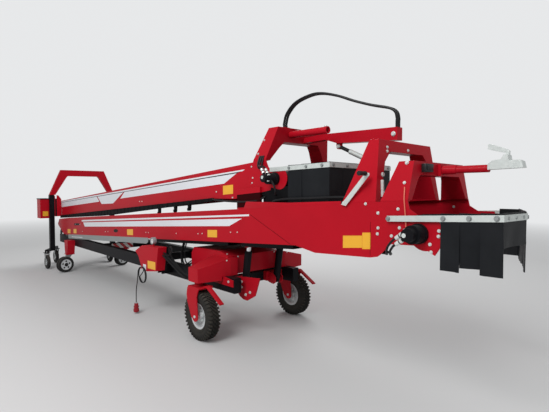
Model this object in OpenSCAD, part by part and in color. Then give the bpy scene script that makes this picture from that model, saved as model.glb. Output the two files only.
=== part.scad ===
// Telescopic belt conveyor for potato stores: two belts one above the other on a steerable chassis.
// Millimetres, +Z up, +X towards the discharge head. Lengthwise places are measured from the main
// axle and moved at the end, so that the origin lies below the middle of the machine's outline.

/* [Main wheels] */
// Radius of the main tyre over its lugs
tyre_r = 290; // [270:1:310]
// Width of the main tyre
tyre_w = 145; // [120:1:160]
// Height of the tread lugs
lug_h = 12; // [6:1:20]
// Radius of the steel rim
rim_r = 155; // [140:1:165]
// Distance of the main wheels from the middle line
wheel_y = 760; // [740:1:800]
// Lengthwise place of the main wheels' axles
wheel_x = -80; // [-95:1:-65]
// Distance from the steering pin forward to the wheel's axle
steer_trail = 60; // [50:1:70]
// Steering pin radius
king_r = 30; // [20:1:40]

/* [Chassis] */
// Height of the chassis beams' underside
beam_z = 560; // [520:1:600]
// Height of the chassis beams' section
beam_h = 175; // [120:1:180]
// Width of the chassis beams
beam_w = 100; // [60:1:120]
// Distance of the chassis beams' middle inside the lower side plates
beam_inset = 70; // [68:1:90]
// Rear end of the chassis beams
beam_rear_x = -6560; // [-6600:1:-6540]
// Front end of the chassis beams
beam_front_x = 250; // [200:1:320]
// Half length of the axle beam
wing_y = 860; // [820:1:900]
// Height of the axle beam's underside at its ends
wing_z = 690; // [670:1:720]

/* [Lift] */
// Lengthwise place of the lift hinge at the tail
hinge_x = -6500; // [-6520:1:-6480]
// Height of the lift hinge
hinge_z = 810; // [800:1:830]
// Radius of the lift hinge pins
hinge_r = 20; // [14:1:26]
// Lengthwise place of the lift cylinders' lower pins
barrel_x = 110; // [90:1:130]
// Height of the lift cylinders' lower pins
barrel_z = 600; // [590:1:620]
// Lengthwise place of the rod eyes
eye_x = 191; // [180:1:200]
// Height of the rod eyes
eye_z = 1110; // [1100:1:1120]
// Distance of the lift cylinders from the middle line
cylinder_y = 262; // [240:1:280]
// Outer radius of the lift cylinder barrels
barrel_r = 45; // [40:1:50]
// Radius of the lift rods
rod_r = 28; // [20:1:32]

/* [Lower conveyor] */
// Slope of the lower conveyor in degrees
low_slope = 3.65; // [3.4:0.05:3.9]
// Height of the lower side plates' top edge above the axle
low_top_z = 1525; // [1515:1:1530]
// Height of the lower side plates' lower edge above the axle
low_bottom_z = 1145; // [1130:1:1155]
// Half width of the lower conveyor
low_half_w = 550; // [540:1:560]
// Rear end of the lower side plates
low_rear_x = -5830; // [-5900:1:-5800]
// Joint between the lower side plates and the head cheeks
head_x = 2170; // [2160:1:2200]
// Lengthwise place of the lower head drum
low_drum_x = 2525; // [2515:1:2540]
// Lengthwise place of the lower tail drum
low_tail_x = -6150; // [-6170:1:-6130]

/* [Upper conveyor] */
// Slope of the upper conveyor in degrees
up_slope = 4.4; // [4.2:0.05:4.5]
// Height of the upper side plates' top edge above the axle
up_top_z = 2021; // [2015:1:2030]
// Height of the upper side plates' lower edge above the axle
up_bottom_z = 1681; // [1675:1:1690]
// Clearance between the lower and the upper side plates
side_gap = 50; // [48:1:60]
// Rear end of the upper side plates
up_rear_x = -6870; // [-6880:1:-6850]
// Front end of the upper side plates
up_front_x = 850; // [840:1:870]
// Lengthwise place of the upper head drum
up_drum_x = 912; // [905:1:920]
// Lengthwise place of the upper tail drum
up_tail_x = -6740; // [-6760:1:-6730]

/* [Belts] */
// Width of the belts
belt_w = 800; // [700:1:820]
// Thickness of the belts
belt_t = 10; // [6:1:12]
// Radius of the drums
drum_r = 75; // [65:1:80]
// Height of the belts' ribs
rib_h = 12; // [8:1:16]
// Distance between the belts' ribs
rib_pitch = 300; // [200:10:400]

/* [Sheet metal] */
// Thickness of the side plates
plate_t = 8; // [5:1:10]
// Width of the side plates' top flanges
flange_w = 36; // [30:1:40]
// Thickness of the rubber curtains
curtain_t = 8; // [6:1:12]
// Height of the galvanised clamping strips
strip_h = 45; // [35:1:55]
// Thickness of the galvanised clamping strips
strip_t = 6; // [4:1:8]

/* [Tail gantry] */
// Lengthwise place of the gantry posts
post_x = -6550; // [-6560:1:-6540]
// Distance of the gantry posts from the middle line
post_y = 700; // [695:1:710]
// Width of the gantry posts
post_w = 100; // [90:1:104]
// Height of the posts' upper end
post_top_z = 1660; // [1640:1:1700]
// Height of the top of the gantry's portal
gantry_top_z = 2245; // [2200:1:2280]
// Half width of the gantry over its castor plates and its cabinet
gantry_half_w = 940; // [930:1:960]
// Radius of the gantry castors' wheels
castor_r = 155; // [140:1:160]
// Width of the gantry castors' wheels
castor_w = 60; // [45:1:70]
// Height of the castors' top plates' undersides
castor_h = 350; // [346:1:360]
// Radius of the chassis' tail castor wheels
tail_castor_r = 165; // [150:1:170]
// Width of each of the chassis' tail castor wheels
tail_castor_w = 44; // [36:1:50]

/* [Fits] */
// Radial clearance of pins in their bores
pin_gap = 0.05; // [0.02:0.01:0.1]
// Clearance where one moving piece rests on another
seat_gap = 0.3; // [0.2:0.1:0.5]
// Clearance between a sliding guide and its post
guide_gap = 0.3; // [0.2:0.1:0.5]
// Radial clearance of a lift rod's eye round its pin
eye_gap = 6; // [5:0.5:7]

/* [Hidden] */
$fn = 48;

beam_y = low_half_w - beam_inset;
up_half_w = low_half_w - side_gap;

red_paint = "#b3141c";
black_paint = "#1d1e20";
galvanised = "#b9bdbd";
rubber = "#1a1b1d";
silver = "#c9ccce";

// The gantry's castors: [place along X, side, distance from the middle line, trail along X]
outer_castor_y = gantry_half_w - 60;
inner_castor_y = 520;
castor_front_x = post_x + 250;
castor_rear_x = post_x - 350;
castor_trail = 50;
CASTORS = [
    [castor_front_x, -1, outer_castor_y, castor_trail],
    [castor_rear_x, -1, inner_castor_y, -castor_trail],
    [castor_front_x, 1, inner_castor_y, castor_trail],
    [castor_rear_x, 1, outer_castor_y, -castor_trail]];

// Outline ends that set the origin
hood_nose_x = 3140;
tail_end_x = castor_rear_x - castor_trail - castor_r;
frame_x = (hood_nose_x + tail_end_x) / 2;

// Straight edges of the two conveyors and the middle lines of their belts
function low_top(x) = low_top_z + x * tan(low_slope);
function low_bottom(x) = low_bottom_z + x * tan(low_slope);
function up_top(x) = up_top_z + x * tan(up_slope);
function up_bottom(x) = up_bottom_z + x * tan(up_slope);
low_belt_rise = 145;
up_belt_rise = 130;
function low_line(x) = low_bottom(x) + low_belt_rise;
function up_line(x) = up_bottom(x) + up_belt_rise;
low_drum_z = low_line(low_drum_x) - 17;
up_drum_z = up_line(up_drum_x) - 4;
belt_r = drum_r + belt_t;

// Moves everything from the axle to the middle of the outline
module placed() translate([-frame_x, 0, 0]) children();

// A side outline drawn in X and Z, made solid from y0 to y1
module side_on(y0, y1) translate([0, y1, 0]) rotate([90, 0, 0]) linear_extrude(y1 - y0) children();

// An end outline drawn in Y and Z, made solid from x0 to x1
module end_on(x0, x1) translate([x0, 0, 0]) rotate([90, 0, 90]) linear_extrude(x1 - x0) children();

// A piece and its mirror image on the other side of the machine
module both_sides() {
    children();
    mirror([0, 1, 0]) children();
}

// A box given by its low and high corners
module block(low, high) translate(low) cube(high - low);

// A round bar along Y between y0 and y1
module bar_y(x, z, r, y0, y1) translate([x, y0, z]) rotate([-90, 0, 0]) cylinder(r = r, h = y1 - y0);

// A round bar along X between x0 and x1
module bar_x(y, z, r, x0, x1) translate([x0, y, z]) rotate([0, 90, 0]) cylinder(r = r, h = x1 - x0);

// Unit vector, and the rings of a hose swept along points
function unit(v) = v / norm(v);
function along(p, i) = unit(p[min(i + 1, len(p) - 1)] - p[max(i - 1, 0)]);
function ring(p, i, r, sides, ref) =
    let (t = along(p, i), s = unit(cross(t, ref)), u = cross(s, t))
    [for (k = [0 : sides - 1]) p[i] + r * (cos(360 * k / sides) * s + sin(360 * k / sides) * u)];
module hose(p, r, sides = 8, ref = [0, 1, 0]) {
    n = len(p);
    polyhedron(
        points = [for (i = [0 : n - 1]) each ring(p, i, r, sides, ref)],
        faces = concat(
            [[for (k = [0 : sides - 1]) k]],
            [for (i = [0 : n - 2], k = [0 : sides - 1])
                let (a = i * sides + k, b = i * sides + (k + 1) % sides)
                [a, a + sides, b + sides, b]],
            [[for (k = [0 : sides - 1]) n * sides - 1 - k]]));
}

// A smooth curve through chosen points, with a number of steps between each two
function curve(p, steps) = [for (i = [0 : len(p) - 2], k = [0 : steps - 1])
    let (a = p[max(i - 1, 0)], b = p[i], c = p[i + 1], d = p[min(i + 2, len(p) - 1)], t = k / steps)
    0.5 * (2 * b + (c - a) * t + (2 * a - 5 * b + 4 * c - d) * t * t
        + (3 * b - a - 3 * c + d) * t * t * t)];
function route(p, steps) = concat(curve(p, steps), [p[len(p) - 1]]);

/* Chassis: two lengthwise beams with cross members and hinge ears at the tail */
cross_xs = [-6300, -4300, -2300, -60];
ear_t = 14;
lug_half_t = 24;

module chassis_frame() color(black_paint) placed() {
    inner = beam_y - beam_w / 2;
    both_sides() {
        block([beam_rear_x, inner, beam_z], [beam_front_x, beam_y + beam_w / 2, beam_z + beam_h]);
        for (s = [-1, 1])
            translate([0, beam_y + s * (lug_half_t + 6 + ear_t / 2), 0])
                side_on(-ear_t / 2, ear_t / 2) {
                    translate([hinge_x, hinge_z]) circle(r = 42);
                    translate([hinge_x - 55, beam_z + beam_h]) square([110, hinge_z - beam_z - beam_h]);
                }
        bar_y(hinge_x, hinge_z, hinge_r, beam_y - lug_half_t - 8, beam_y + lug_half_t + 8);
    }
    for (x = cross_xs) block([x - 40, -inner, beam_z + 20], [x + 40, inner, beam_z + beam_h - 35]);
}

/* Axle beam: a folded sheet housing with two tapered wings that carry the steering pins */
housing_top_z = 1010;
housing_rear_x = -810;
housing_front_x = 20;
king_x = wheel_x - steer_trail;
wing_tip_rear_x = king_x - 70;
wing_tip_front_x = king_x + 130;
fork_top_z = 650;

module axle_beam() color(red_paint) placed() difference() {
    union() {
        intersection() {
            end_on(-320, 110) polygon([
                [-wing_y, wing_z], [-wing_y, wing_z + 160], [-450, 945], [450, 945],
                [wing_y, wing_z + 160], [wing_y, wing_z], [beam_y + 80, wing_z],
                [beam_y + 80, beam_z + beam_h], [-beam_y - 80, beam_z + beam_h], [-beam_y - 80, wing_z]]);
            linear_extrude(housing_top_z) polygon([
                [wing_tip_rear_x, -wing_y], [wing_tip_front_x, -wing_y], [70, -450], [70, -345],
                [housing_front_x, -335], [housing_front_x, 335], [70, 345], [70, 450],
                [wing_tip_front_x, wing_y], [wing_tip_rear_x, wing_y], [-300, 450], [-300, -450]]);
        }
        side_on(-450, 450) polygon([
            [housing_rear_x, beam_z + beam_h], [housing_rear_x, 920], [housing_rear_x + 60, housing_top_z - 10],
            [-150, housing_top_z], [housing_front_x, 960], [housing_front_x, beam_z + beam_h]]);
        both_sides() {
            // saddle plates on the outsides of the chassis beams
            side_on(beam_y + beam_w / 2, beam_y + beam_w / 2 + 12) polygon([
                [-330, beam_z + 85], [-330, beam_z + beam_h], [70, beam_z + beam_h],
                [235, beam_z + beam_h - 20], [235, beam_z + 75]]);
            translate([king_x, wheel_y, fork_top_z + 26]) cylinder(r = 62, h = wing_z - fork_top_z - 26);
            translate([king_x, wheel_y, fork_top_z + seat_gap]) cylinder(r = 52, h = 30);
        }
    }
    both_sides() translate([king_x, wheel_y, fork_top_z - 10]) cylinder(r = king_r + pin_gap, h = 130);
}

/* Brackets at the chassis' front end, with the pins of the lift cylinders */
bracket_t = 15;
bracket_gap = 54;
eye_t = 40;
rod_eye_t = 60;

module bracket_pair() both_sides() {
    block([-20, cylinder_y - 110, beam_z + 20], [40, beam_y - beam_w / 2, beam_z + beam_h - 35]);
    for (s = [-1, 1])
        translate([0, cylinder_y + s * (bracket_gap + bracket_t / 2), 0])
            side_on(-bracket_t / 2, bracket_t / 2) polygon([
                [-20, 580], [-20, 690], [100, 690], [160, 640], [160, 570], [120, 545], [40, 560]]);
    bar_y(barrel_x, barrel_z, 20, cylinder_y - bracket_gap, cylinder_y + bracket_gap);
}

// One larger plate against the outermost bracket plate of the near side
valve_plate_y = -cylinder_y - bracket_gap - bracket_t;

module valve_plate() side_on(valve_plate_y - bracket_t, valve_plate_y) polygon([
    [-20, 600], [-20, 700], [130, 720], [300, 735], [480, 750], [425, 600], [395, 530], [250, 450], [178, 452],
    [110, 480]]);

module lift_brackets() color(red_paint) placed() {
    bracket_pair();
    valve_plate();
}

/* Tail legs: the chassis' two rear feet, each on a twin castor */
tail_axis_x = -5570;
tail_axis_y = 620;
tail_leg_z = 375;
tail_leg_top_z = 680;
tail_trail = 90;
tail_turn = -80;

module tail_legs() color(red_paint) placed() both_sides() difference() {
    union() {
        side_on(beam_y + beam_w / 2, tail_axis_y + 60) polygon([
            [tail_axis_x - 70, tail_leg_z + 12], [tail_axis_x - 110, beam_z], [tail_axis_x - 110, tail_leg_top_z],
            [tail_axis_x + 110, tail_leg_top_z], [tail_axis_x + 110, beam_z], [tail_axis_x + 70, tail_leg_z + 12]]);
        block([tail_axis_x - 85, beam_y + beam_w / 2, tail_leg_z],
            [tail_axis_x + 85, tail_axis_y + 75, tail_leg_z + 12]);
    }
    translate([tail_axis_x, tail_axis_y, tail_leg_z - 1]) cylinder(r = 14 + pin_gap, h = 60);
}

/* Console: the folded electric box on the near side, with its gauge and the peg for the supply cord */
console_y0 = -850;
console_y1 = -690;
console_arm_x = -1260;
peg_x = -1420;
peg_z = 678;
peg_r = 7;
gland_x = -1530;
gland_z = 676;
gland_y = -800;

module console() color(red_paint) placed() {
    side_on(console_y0, console_y1) polygon([
        [-1690, 890], [-1480, 984], [-990, 1000], [-1050, 680], [-1333, 640], [-1500, 690], [-1586, 823]]);
    block([console_arm_x - 60, console_y1, 700], [console_arm_x + 60, -beam_y - beam_w / 2, 730]);
    block([console_arm_x - 60, console_y1, 600], [console_arm_x - 50, -beam_y - beam_w / 2, 700]);
    block([console_arm_x + 50, console_y1, 600], [console_arm_x + 60, -beam_y - beam_w / 2, 700]);
    bar_y(peg_x, peg_z, peg_r, console_y0 - 46, console_y0);
    // gauge on its stem
    translate([-1240, -790, 990]) cylinder(r = 14, h = 36);
    difference() {
        bar_y(-1240, 1068, 48, -815, -765);
        bar_y(-1240, 1068, 38, -816, -806);
    }
    translate([gland_x, gland_y, gland_z - 36]) cylinder(r = 15, h = 110);
}

module warning_panel() color("#d8d8d8") placed()
    block([cross_xs[1] + 40, -200, 590], [cross_xs[1] + 46, 240, 690]);

/* Free supply cord: two turns hung on the peg, then down to its plug */
cord_r = 6.5;
coil_r = 110;
coil_y = -872;
coil_half_w = 21;
coil_z = peg_z + peg_r + seat_gap - coil_r + cord_r + 1;
cord_to_coil = [
    [gland_x, gland_y, gland_z - 36 - seat_gap], [gland_x, gland_y, gland_z - 46], [gland_x, gland_y, gland_z - 56],
    [-1533, -812, 606], [-1538, -840, 586], [-1535, -858, 562]];
cord_to_plug = [
    [-1531, -886, 574], [-1539, -886, 530], [-1560, -884, 460], [-1582, -884, 390],
    [-1596, -884, 320], [-1600, -884, 250], [-1600, -884, 165]];
plug_x = -1600;
plug_y = -884;

module supply_cord() color(rubber) placed() {
    hose(route(cord_to_coil, 3), cord_r, 8, [1, 0, 0]);
    hose(route(cord_to_plug, 4), cord_r, 8, [0, 1, 0]);
}

module supply_coil() color(rubber) placed()
    translate([peg_x, coil_y, coil_z]) rotate([90, 0, 0])
        rotate_extrude() translate([coil_r - cord_r - 1, -coil_half_w]) square([2 * cord_r + 2, 2 * coil_half_w]);

module supply_plug() color(red_paint) placed() translate([plug_x, plug_y, 0]) {
    translate([0, 0, 148]) cylinder(r = 12, h = 18);
    translate([0, 0, 60]) cylinder(r = 27, h = 88);
    translate([0, 0, 12]) cylinder(r = 33, h = 48);
}

/* Main wheels: steered forks with lugged tyres on steel rims */
arm_gap = 14;
arm_t = 12;
arm_y = tyre_w / 2 + arm_gap;
axle_r = 16;

module wheel_fork() {
    difference() {
        union() {
            translate([-steer_trail, 0, fork_top_z - 12]) cylinder(r = 58, h = 12);
            translate([-steer_trail, 0, fork_top_z]) cylinder(r = king_r, h = 100);
            side_on(-arm_y - arm_t, arm_y + arm_t) polygon([
                [-165, fork_top_z - 50], [-140, fork_top_z - 12], [55, fork_top_z - 12],
                [95, fork_top_z - 24], [91, fork_top_z - 36], [50, fork_top_z - 24],
                [-130, fork_top_z - 24], [-155, fork_top_z - 56]]);
            for (s = [-1, 1]) translate([0, s * (arm_y + arm_t / 2), 0]) side_on(-arm_t / 2, arm_t / 2) {
                polygon([
                    [-165, fork_top_z - 50], [-140, fork_top_z - 12], [55, fork_top_z - 12], [80, fork_top_z - 24],
                    [36, fork_top_z - 130], [50, tyre_r + 90], [58, tyre_r], [-45, tyre_r - 30], [-75, tyre_r - 20],
                    [-161, tyre_r + 150], [-178, tyre_r + 235]]);
                translate([0, tyre_r]) circle(r = 58);
            }
            // the sloping guard bar in front of the wheel
            side_on(-28, 28) polygon([
                [50, fork_top_z - 12], [120, fork_top_z + 10], [142, fork_top_z + 4], [405, 500], [398, 488],
                [130, fork_top_z - 10], [80, fork_top_z - 27]]);
        }
        bar_y(0, tyre_r, axle_r + pin_gap, -200, 200);
    }
}

tread_r = tyre_r - lug_h;
lug_count = 24;

module tyre() difference() {
    union() {
        rotate([90, 0, 0]) rotate_extrude() polygon([
            [rim_r, -tyre_w * 0.36], [rim_r + 40, -tyre_w * 0.46], [tread_r - 45, -tyre_w / 2 + 3],
            [tread_r - 10, -tyre_w * 0.40], [tread_r, -tyre_w * 0.28], [tread_r, tyre_w * 0.28],
            [tread_r - 10, tyre_w * 0.40], [tread_r - 45, tyre_w / 2 - 3], [rim_r + 40, tyre_w * 0.46],
            [rim_r, tyre_w * 0.36]]);
        for (i = [0 : lug_count - 1], s = [-1, 1])
            rotate([0, (i + (s + 1) / 4) * 360 / lug_count, 0])
                translate([-20, s > 0 ? 6 : -tyre_w / 2 + 2, -tyre_r]) cube([40, tyre_w / 2 - 8, lug_h + 12]);
    }
    bar_y(0, 0, rim_r, -tyre_w, tyre_w);
}

module rim() difference() {
    union() {
        rotate([90, 0, 0]) rotate_extrude() polygon([
            [axle_r, -45], [45, -45], [45, -18], [rim_r - 40, -10], [rim_r - 20, -tyre_w * 0.34],
            [rim_r, -tyre_w * 0.36], [rim_r, tyre_w * 0.36], [rim_r - 20, tyre_w * 0.34],
            [rim_r - 30, 6], [45, 0], [45, 45], [axle_r, 45]]);
        bar_y(0, 0, axle_r, -arm_y - arm_t - 8, arm_y + arm_t + 8);
    }
    for (a = [30 : 60 : 330]) rotate([0, a, 0]) translate([95, 0, 0]) bar_y(0, 0, 13, -60, 60);
}

module fork_near() color(red_paint) placed() translate([wheel_x, -wheel_y, 0]) wheel_fork();
module fork_far() color(red_paint) placed() translate([wheel_x, wheel_y, 0]) wheel_fork();
module tyre_near() color(rubber) placed() translate([wheel_x, -wheel_y, tyre_r]) tyre();
module tyre_far() color(rubber) placed() translate([wheel_x, wheel_y, tyre_r]) tyre();
module rim_near() color(silver) placed() translate([wheel_x, -wheel_y, tyre_r]) rim();
module rim_far() color(silver) placed() translate([wheel_x, wheel_y, tyre_r]) rim();

/* Tail castors: a web between two wheels on one axle */
module tail_castor() {
    difference() {
        union() {
            translate([0, 0, tail_leg_z - 8]) cylinder(r = 14, h = 58);
            translate([0, 0, tail_leg_z - 16]) cylinder(r = 60, h = 16 - seat_gap);
            side_on(-11, 11) {
                polygon([
                    [-55, tail_leg_z - 10], [70, tail_leg_z - 10], [tail_trail + 45, tail_castor_r + 60],
                    [tail_trail + 30, tail_castor_r], [tail_trail - 30, tail_castor_r]]);
                translate([tail_trail, tail_castor_r]) circle(r = 32);
            }
        }
        bar_y(tail_trail, tail_castor_r, 12 + pin_gap, -40, 40);
    }
}

module tail_wheels() translate([tail_trail, 0, tail_castor_r]) {
    bar_y(0, 0, 12, -16 - tail_castor_w, 16 + tail_castor_w);
    for (s = [-1, 1]) scale([1, s, 1]) rotate([-90, 0, 0]) rotate_extrude() polygon([
        [10, 16], [40, 16], [40, 24], [tail_castor_r - 50, 24], [tail_castor_r - 40, 16],
        [tail_castor_r - 8, 16], [tail_castor_r, 24], [tail_castor_r, 8 + tail_castor_w],
        [tail_castor_r - 8, 16 + tail_castor_w], [tail_castor_r - 40, 16 + tail_castor_w],
        [tail_castor_r - 50, 6 + tail_castor_w], [40, 6 + tail_castor_w], [40, 16 + tail_castor_w],
        [10, 16 + tail_castor_w]]);
}

// A tail castor's place on its side, turned as it stands after the last manoeuvre
module at_tail(side) translate([tail_axis_x, side * tail_axis_y, 0]) rotate([0, 0, tail_turn]) children();

module tail_castor_near() color(galvanised) placed() at_tail(-1) tail_castor();
module tail_castor_far() color(galvanised) placed() at_tail(1) tail_castor();
module tail_wheels_near() color(rubber) placed() at_tail(-1) tail_wheels();
module tail_wheels_far() color(rubber) placed() at_tail(1) tail_wheels();

/* Lift cylinders: two barrels with their rods, leaning forward */
cylinder_len = norm([eye_x - barrel_x, eye_z - barrel_z]);
cylinder_lean = atan2(eye_x - barrel_x, eye_z - barrel_z);
barrel_len = 430;
rod_foot = 62;

module on_cylinders() both_sides()
    translate([barrel_x, cylinder_y, barrel_z]) rotate([0, cylinder_lean, 0]) children();

module lift_barrels() color(black_paint) placed() on_cylinders() difference() {
    union() {
        bar_y(0, 0, 42, -eye_t / 2, eye_t / 2);
        translate([0, 0, 20]) cylinder(r = barrel_r, h = barrel_len - 20);
    }
    bar_y(0, 0, 20 + pin_gap, -60, 60);
    translate([0, 0, 50]) cylinder(r = rod_r + 4, h = barrel_len);
}

module lift_rods() color(silver) placed() on_cylinders() difference() {
    union() {
        translate([0, 0, rod_foot]) cylinder(r = rod_r, h = cylinder_len - rod_foot);
        bar_y(0, cylinder_len, 42, -rod_eye_t / 2, rod_eye_t / 2);
    }
    bar_y(0, cylinder_len, 20 + eye_gap, -60, 60);
}

/* Lower conveyor: folded side plates, deeper towards the head */
step_x = 1250;
deep_x = 1500;
tail_plate_x = -6510;
tail_tip_x = -6620;

module lower_side() {
    side_on(low_half_w - plate_t, low_half_w) polygon([
        [low_rear_x, low_bottom(low_rear_x)], [step_x, low_bottom(step_x)], [deep_x, 1180], [2105, 1208],
        [head_x, 1222], [head_x, low_top(head_x)], [low_rear_x, low_top(low_rear_x)],
        [tail_plate_x, low_top(tail_plate_x) - 12], [tail_tip_x, 985], [tail_tip_x + 15, 955],
        [tail_tip_x + 430, low_bottom(tail_tip_x + 430) + 20]]);
    side_on(low_half_w - flange_w, low_half_w - plate_t) polygon([
        [tail_plate_x + 80, low_top(tail_plate_x + 80) - plate_t - 11],
        [tail_plate_x + 80, low_top(tail_plate_x + 80) - 11],
        [low_rear_x, low_top(low_rear_x)], [head_x, low_top(head_x)], [head_x, low_top(head_x) - plate_t],
        [low_rear_x, low_top(low_rear_x) - plate_t]]);
}

module lower_sides() color(red_paint) placed() both_sides() lower_side();

// Bed sheet between the belt's two runs, on cross tubes
bed_t = 6;
low_bed_y = low_half_w - plate_t;
arm_tube_x = -6290;
arm_tube_z = 900;
arm_tube_r = 24;
low_tube_xs = [-5600, -4200, -2800, -1400, 0, 700, 1300];
tube_half_l = 25;
tube_rise = 4; // from the side plates' lower edge to the tubes' undersides

module lower_bed() color(red_paint) placed() {
    side_on(-low_bed_y, low_bed_y) polygon([
        [low_tail_x + 200, low_line(low_tail_x + 200) - 24 - bed_t],
        [low_drum_x - 175, low_line(low_drum_x - 175) - 24 - bed_t],
        [low_drum_x - 175, low_line(low_drum_x - 175) - 24],
        [low_tail_x + 200, low_line(low_tail_x + 200) - 24]]);
    for (x = low_tube_xs)
        block([x - tube_half_l, -low_bed_y, low_bottom(x) + tube_rise],
            [x + tube_half_l, low_bed_y, low_bottom(x) + 28]);
}

// Hinge arms on a cross tube at the tail
module hinge_arms() color(red_paint) placed() {
    bar_y(arm_tube_x, arm_tube_z, arm_tube_r, -low_bed_y, low_bed_y);
    both_sides() difference() {
        side_on(beam_y - lug_half_t, beam_y + lug_half_t) {
            translate([hinge_x, hinge_z]) circle(r = 42);
            polygon([
                [hinge_x, hinge_z - 40], [hinge_x, hinge_z + 40], [arm_tube_x, arm_tube_z + arm_tube_r],
                [arm_tube_x, arm_tube_z - arm_tube_r]]);
        }
        bar_y(hinge_x, hinge_z, hinge_r + pin_gap, 0, low_bed_y);
    }
}

// Cross beam with the lugs and pins of the lift rods
module lift_beam() color(red_paint) placed() {
    block([eye_x - 60, -low_bed_y, low_bottom(eye_x) + 2], [eye_x + 60, low_bed_y, low_bottom(eye_x) + 28]);
    both_sides() {
        for (s = [-1, 1]) translate([0, cylinder_y + s * (rod_eye_t / 2 + seat_gap + 8), 0]) side_on(-8, 8) {
            translate([eye_x, eye_z]) circle(r = 40);
            translate([eye_x - 40, eye_z]) square([80, low_bottom(eye_x) + 10 - eye_z]);
        }
        bar_y(eye_x, eye_z, 20, cylinder_y - rod_eye_t / 2 - 2, cylinder_y + rod_eye_t / 2 + 2);
    }
}

// Folded tray that carries hoses and cables under the conveyor, in front of and behind the lift rods
tray_depth = 52;
tray_half_w = 480;
tray_t = 4;
tray_rear_x = -1850;
tray_front_x = 1150;
tray_rod_gap = 130;
// The trays' upper edges lie under the bed's cross tubes
tray_top = tube_rise - tube_half_l * tan(low_slope) - seat_gap;

module tray_outline(x0, x1, low, high) polygon([
    [x0, low_bottom(x0) + low], [x1, low_bottom(x1) + low], [x1, low_bottom(x1) + high], [x0, low_bottom(x0) + high]]);

module hose_tray() color(black_paint) placed() 
    for (x = [[tray_rear_x, eye_x - tray_rod_gap], [eye_x + tray_rod_gap, tray_front_x]]) difference() {
        side_on(-tray_half_w, tray_half_w) tray_outline(x[0], x[1], tray_top - tray_depth, tray_top);
        side_on(-tray_half_w + tray_t, tray_half_w - tray_t)
            tray_outline(x[0] - 1, x[1] + 1, tray_top - tray_depth + tray_t, tray_top + 1);
    }

// A ribbed belt round two drums, laid along a slope
module belt_loop(x0, x1, line0, line1) {
    length = norm([x1 - x0, line1 - line0]);
    ribs = floor((length - 200) / rib_pitch);
    translate([x0, 0, line0]) rotate([0, -atan2(line1 - line0, x1 - x0), 0]) difference() {
        union() {
            side_on(-belt_w / 2, belt_w / 2) {
                circle(r = belt_r);
                translate([length, 0]) circle(r = belt_r);
                translate([0, -belt_r]) square([length, 2 * belt_r]);
            }
            for (i = [0 : ribs], s = [-1, 1])
                translate([100 + i * rib_pitch, 0, s * (belt_r + rib_h / 2 - 1)])
                    cube([14, belt_w - 60, rib_h + 2], center = true);
        }
        side_on(-belt_w, belt_w) {
            circle(r = drum_r);
            translate([length, 0]) circle(r = drum_r);
            translate([0, -drum_r]) square([length, 2 * drum_r]);
        }
    }
}

module lower_belt() color(rubber) placed() belt_loop(low_tail_x, low_drum_x, low_line(low_tail_x), low_drum_z);
module upper_belt() color(rubber) placed() belt_loop(up_tail_x, up_drum_x, up_line(up_tail_x), up_drum_z);

drum_gap = 0.3;
module drum(x, z, reach) {
    bar_y(x, z, drum_r - drum_gap, -belt_w / 2 + 5, belt_w / 2 - 5);
    bar_y(x, z, 25, -reach, reach);
}

module lower_drums() color(galvanised) placed() {
    drum(low_tail_x, low_line(low_tail_x), low_bed_y);
    drum(low_drum_x, low_drum_z, low_bed_y);
}

// Galvanised guards along the lower edge, one each side
guard_front_x = -1900;
guard_h = 80;

module lower_guards() color(galvanised) placed() both_sides() side_on(low_half_w, low_half_w + 3) polygon([
    [low_rear_x, low_bottom(low_rear_x) + 12], [guard_front_x, low_bottom(guard_front_x) + 12],
    [guard_front_x, low_bottom(guard_front_x) - guard_h * 0.7],
    [guard_front_x - 60, low_bottom(guard_front_x - 60) - guard_h],
    [low_rear_x, low_bottom(low_rear_x) - guard_h]]);

/* Discharge head: cheeks round the head drum, motor, hood strip and curtain */
module head_cheek() side_on(low_half_w - plate_t, low_half_w) {
    polygon([
        [head_x, 1222], [2200, 1245], [2290, 1335], [2540, 1345], [2648, 1284], [2690, 1350], [2690, 1500],
        [2660, 1568], [2520, 1568], [head_foot_x + 15, 1615], [head_foot_x, low_top(head_foot_x)], [head_x, low_top(head_x)]]);
    translate([low_drum_x + 45, low_drum_z]) circle(r = 124);
}

module head_cheeks() color(red_paint) placed() both_sides() {
    head_cheek();
    side_on(low_half_w - flange_w, low_half_w - plate_t) polygon([
        [head_x, low_top(head_x) - plate_t], [head_x, low_top(head_x)], [head_foot_x, low_top(head_foot_x)],
        [head_foot_x, low_top(head_foot_x) - plate_t]]);
}

module hydraulic_motor(r) {
    bar_y(0, 0, r, -30, 0);
    bar_y(0, 0, r - 7, -115, -29);
    bar_y(0, 0, r - 26, -175, -114);
}

module head_motor() color(black_paint) placed()
    translate([low_drum_x, -low_half_w, low_drum_z]) {
        hydraulic_motor(76);
        // ports that point down and back
        for (z = [-22, 22]) translate([-30, -140, z]) rotate([0, -125, 0]) cylinder(r = 13, h = 85);
    }

// A convex outline, given anticlockwise, moved inwards
function inset(p, t) = [for (i = [0 : len(p) - 1])
    let (n = len(p), a = unit(p[i] - p[(i + n - 1) % n]), b = unit(p[(i + 1) % n] - p[i]))
    p[i] + t * [-a[1] - b[1], a[0] + b[0]] / (1 + a[0] * b[0] + a[1] * b[1])];

// A wall along a hood's outline seen from above, cut to a side outline that leaves out the rear edge
module hood_wall(plan, t, side_points) intersection() {
    linear_extrude(gantry_top_z) difference() {
        polygon(plan);
        polygon(inset(plan, t));
    }
    side_on(-low_half_w - 40, low_half_w + 40) polygon(side_points);
}

head_hood_x = 2270;
head_hood_half_w = low_half_w + 26;
head_hood_z = 1535;
head_hood_slope = 2.75;
function head_hood_line(x) = head_hood_z + (x - head_hood_x) * tan(head_hood_slope);
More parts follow.
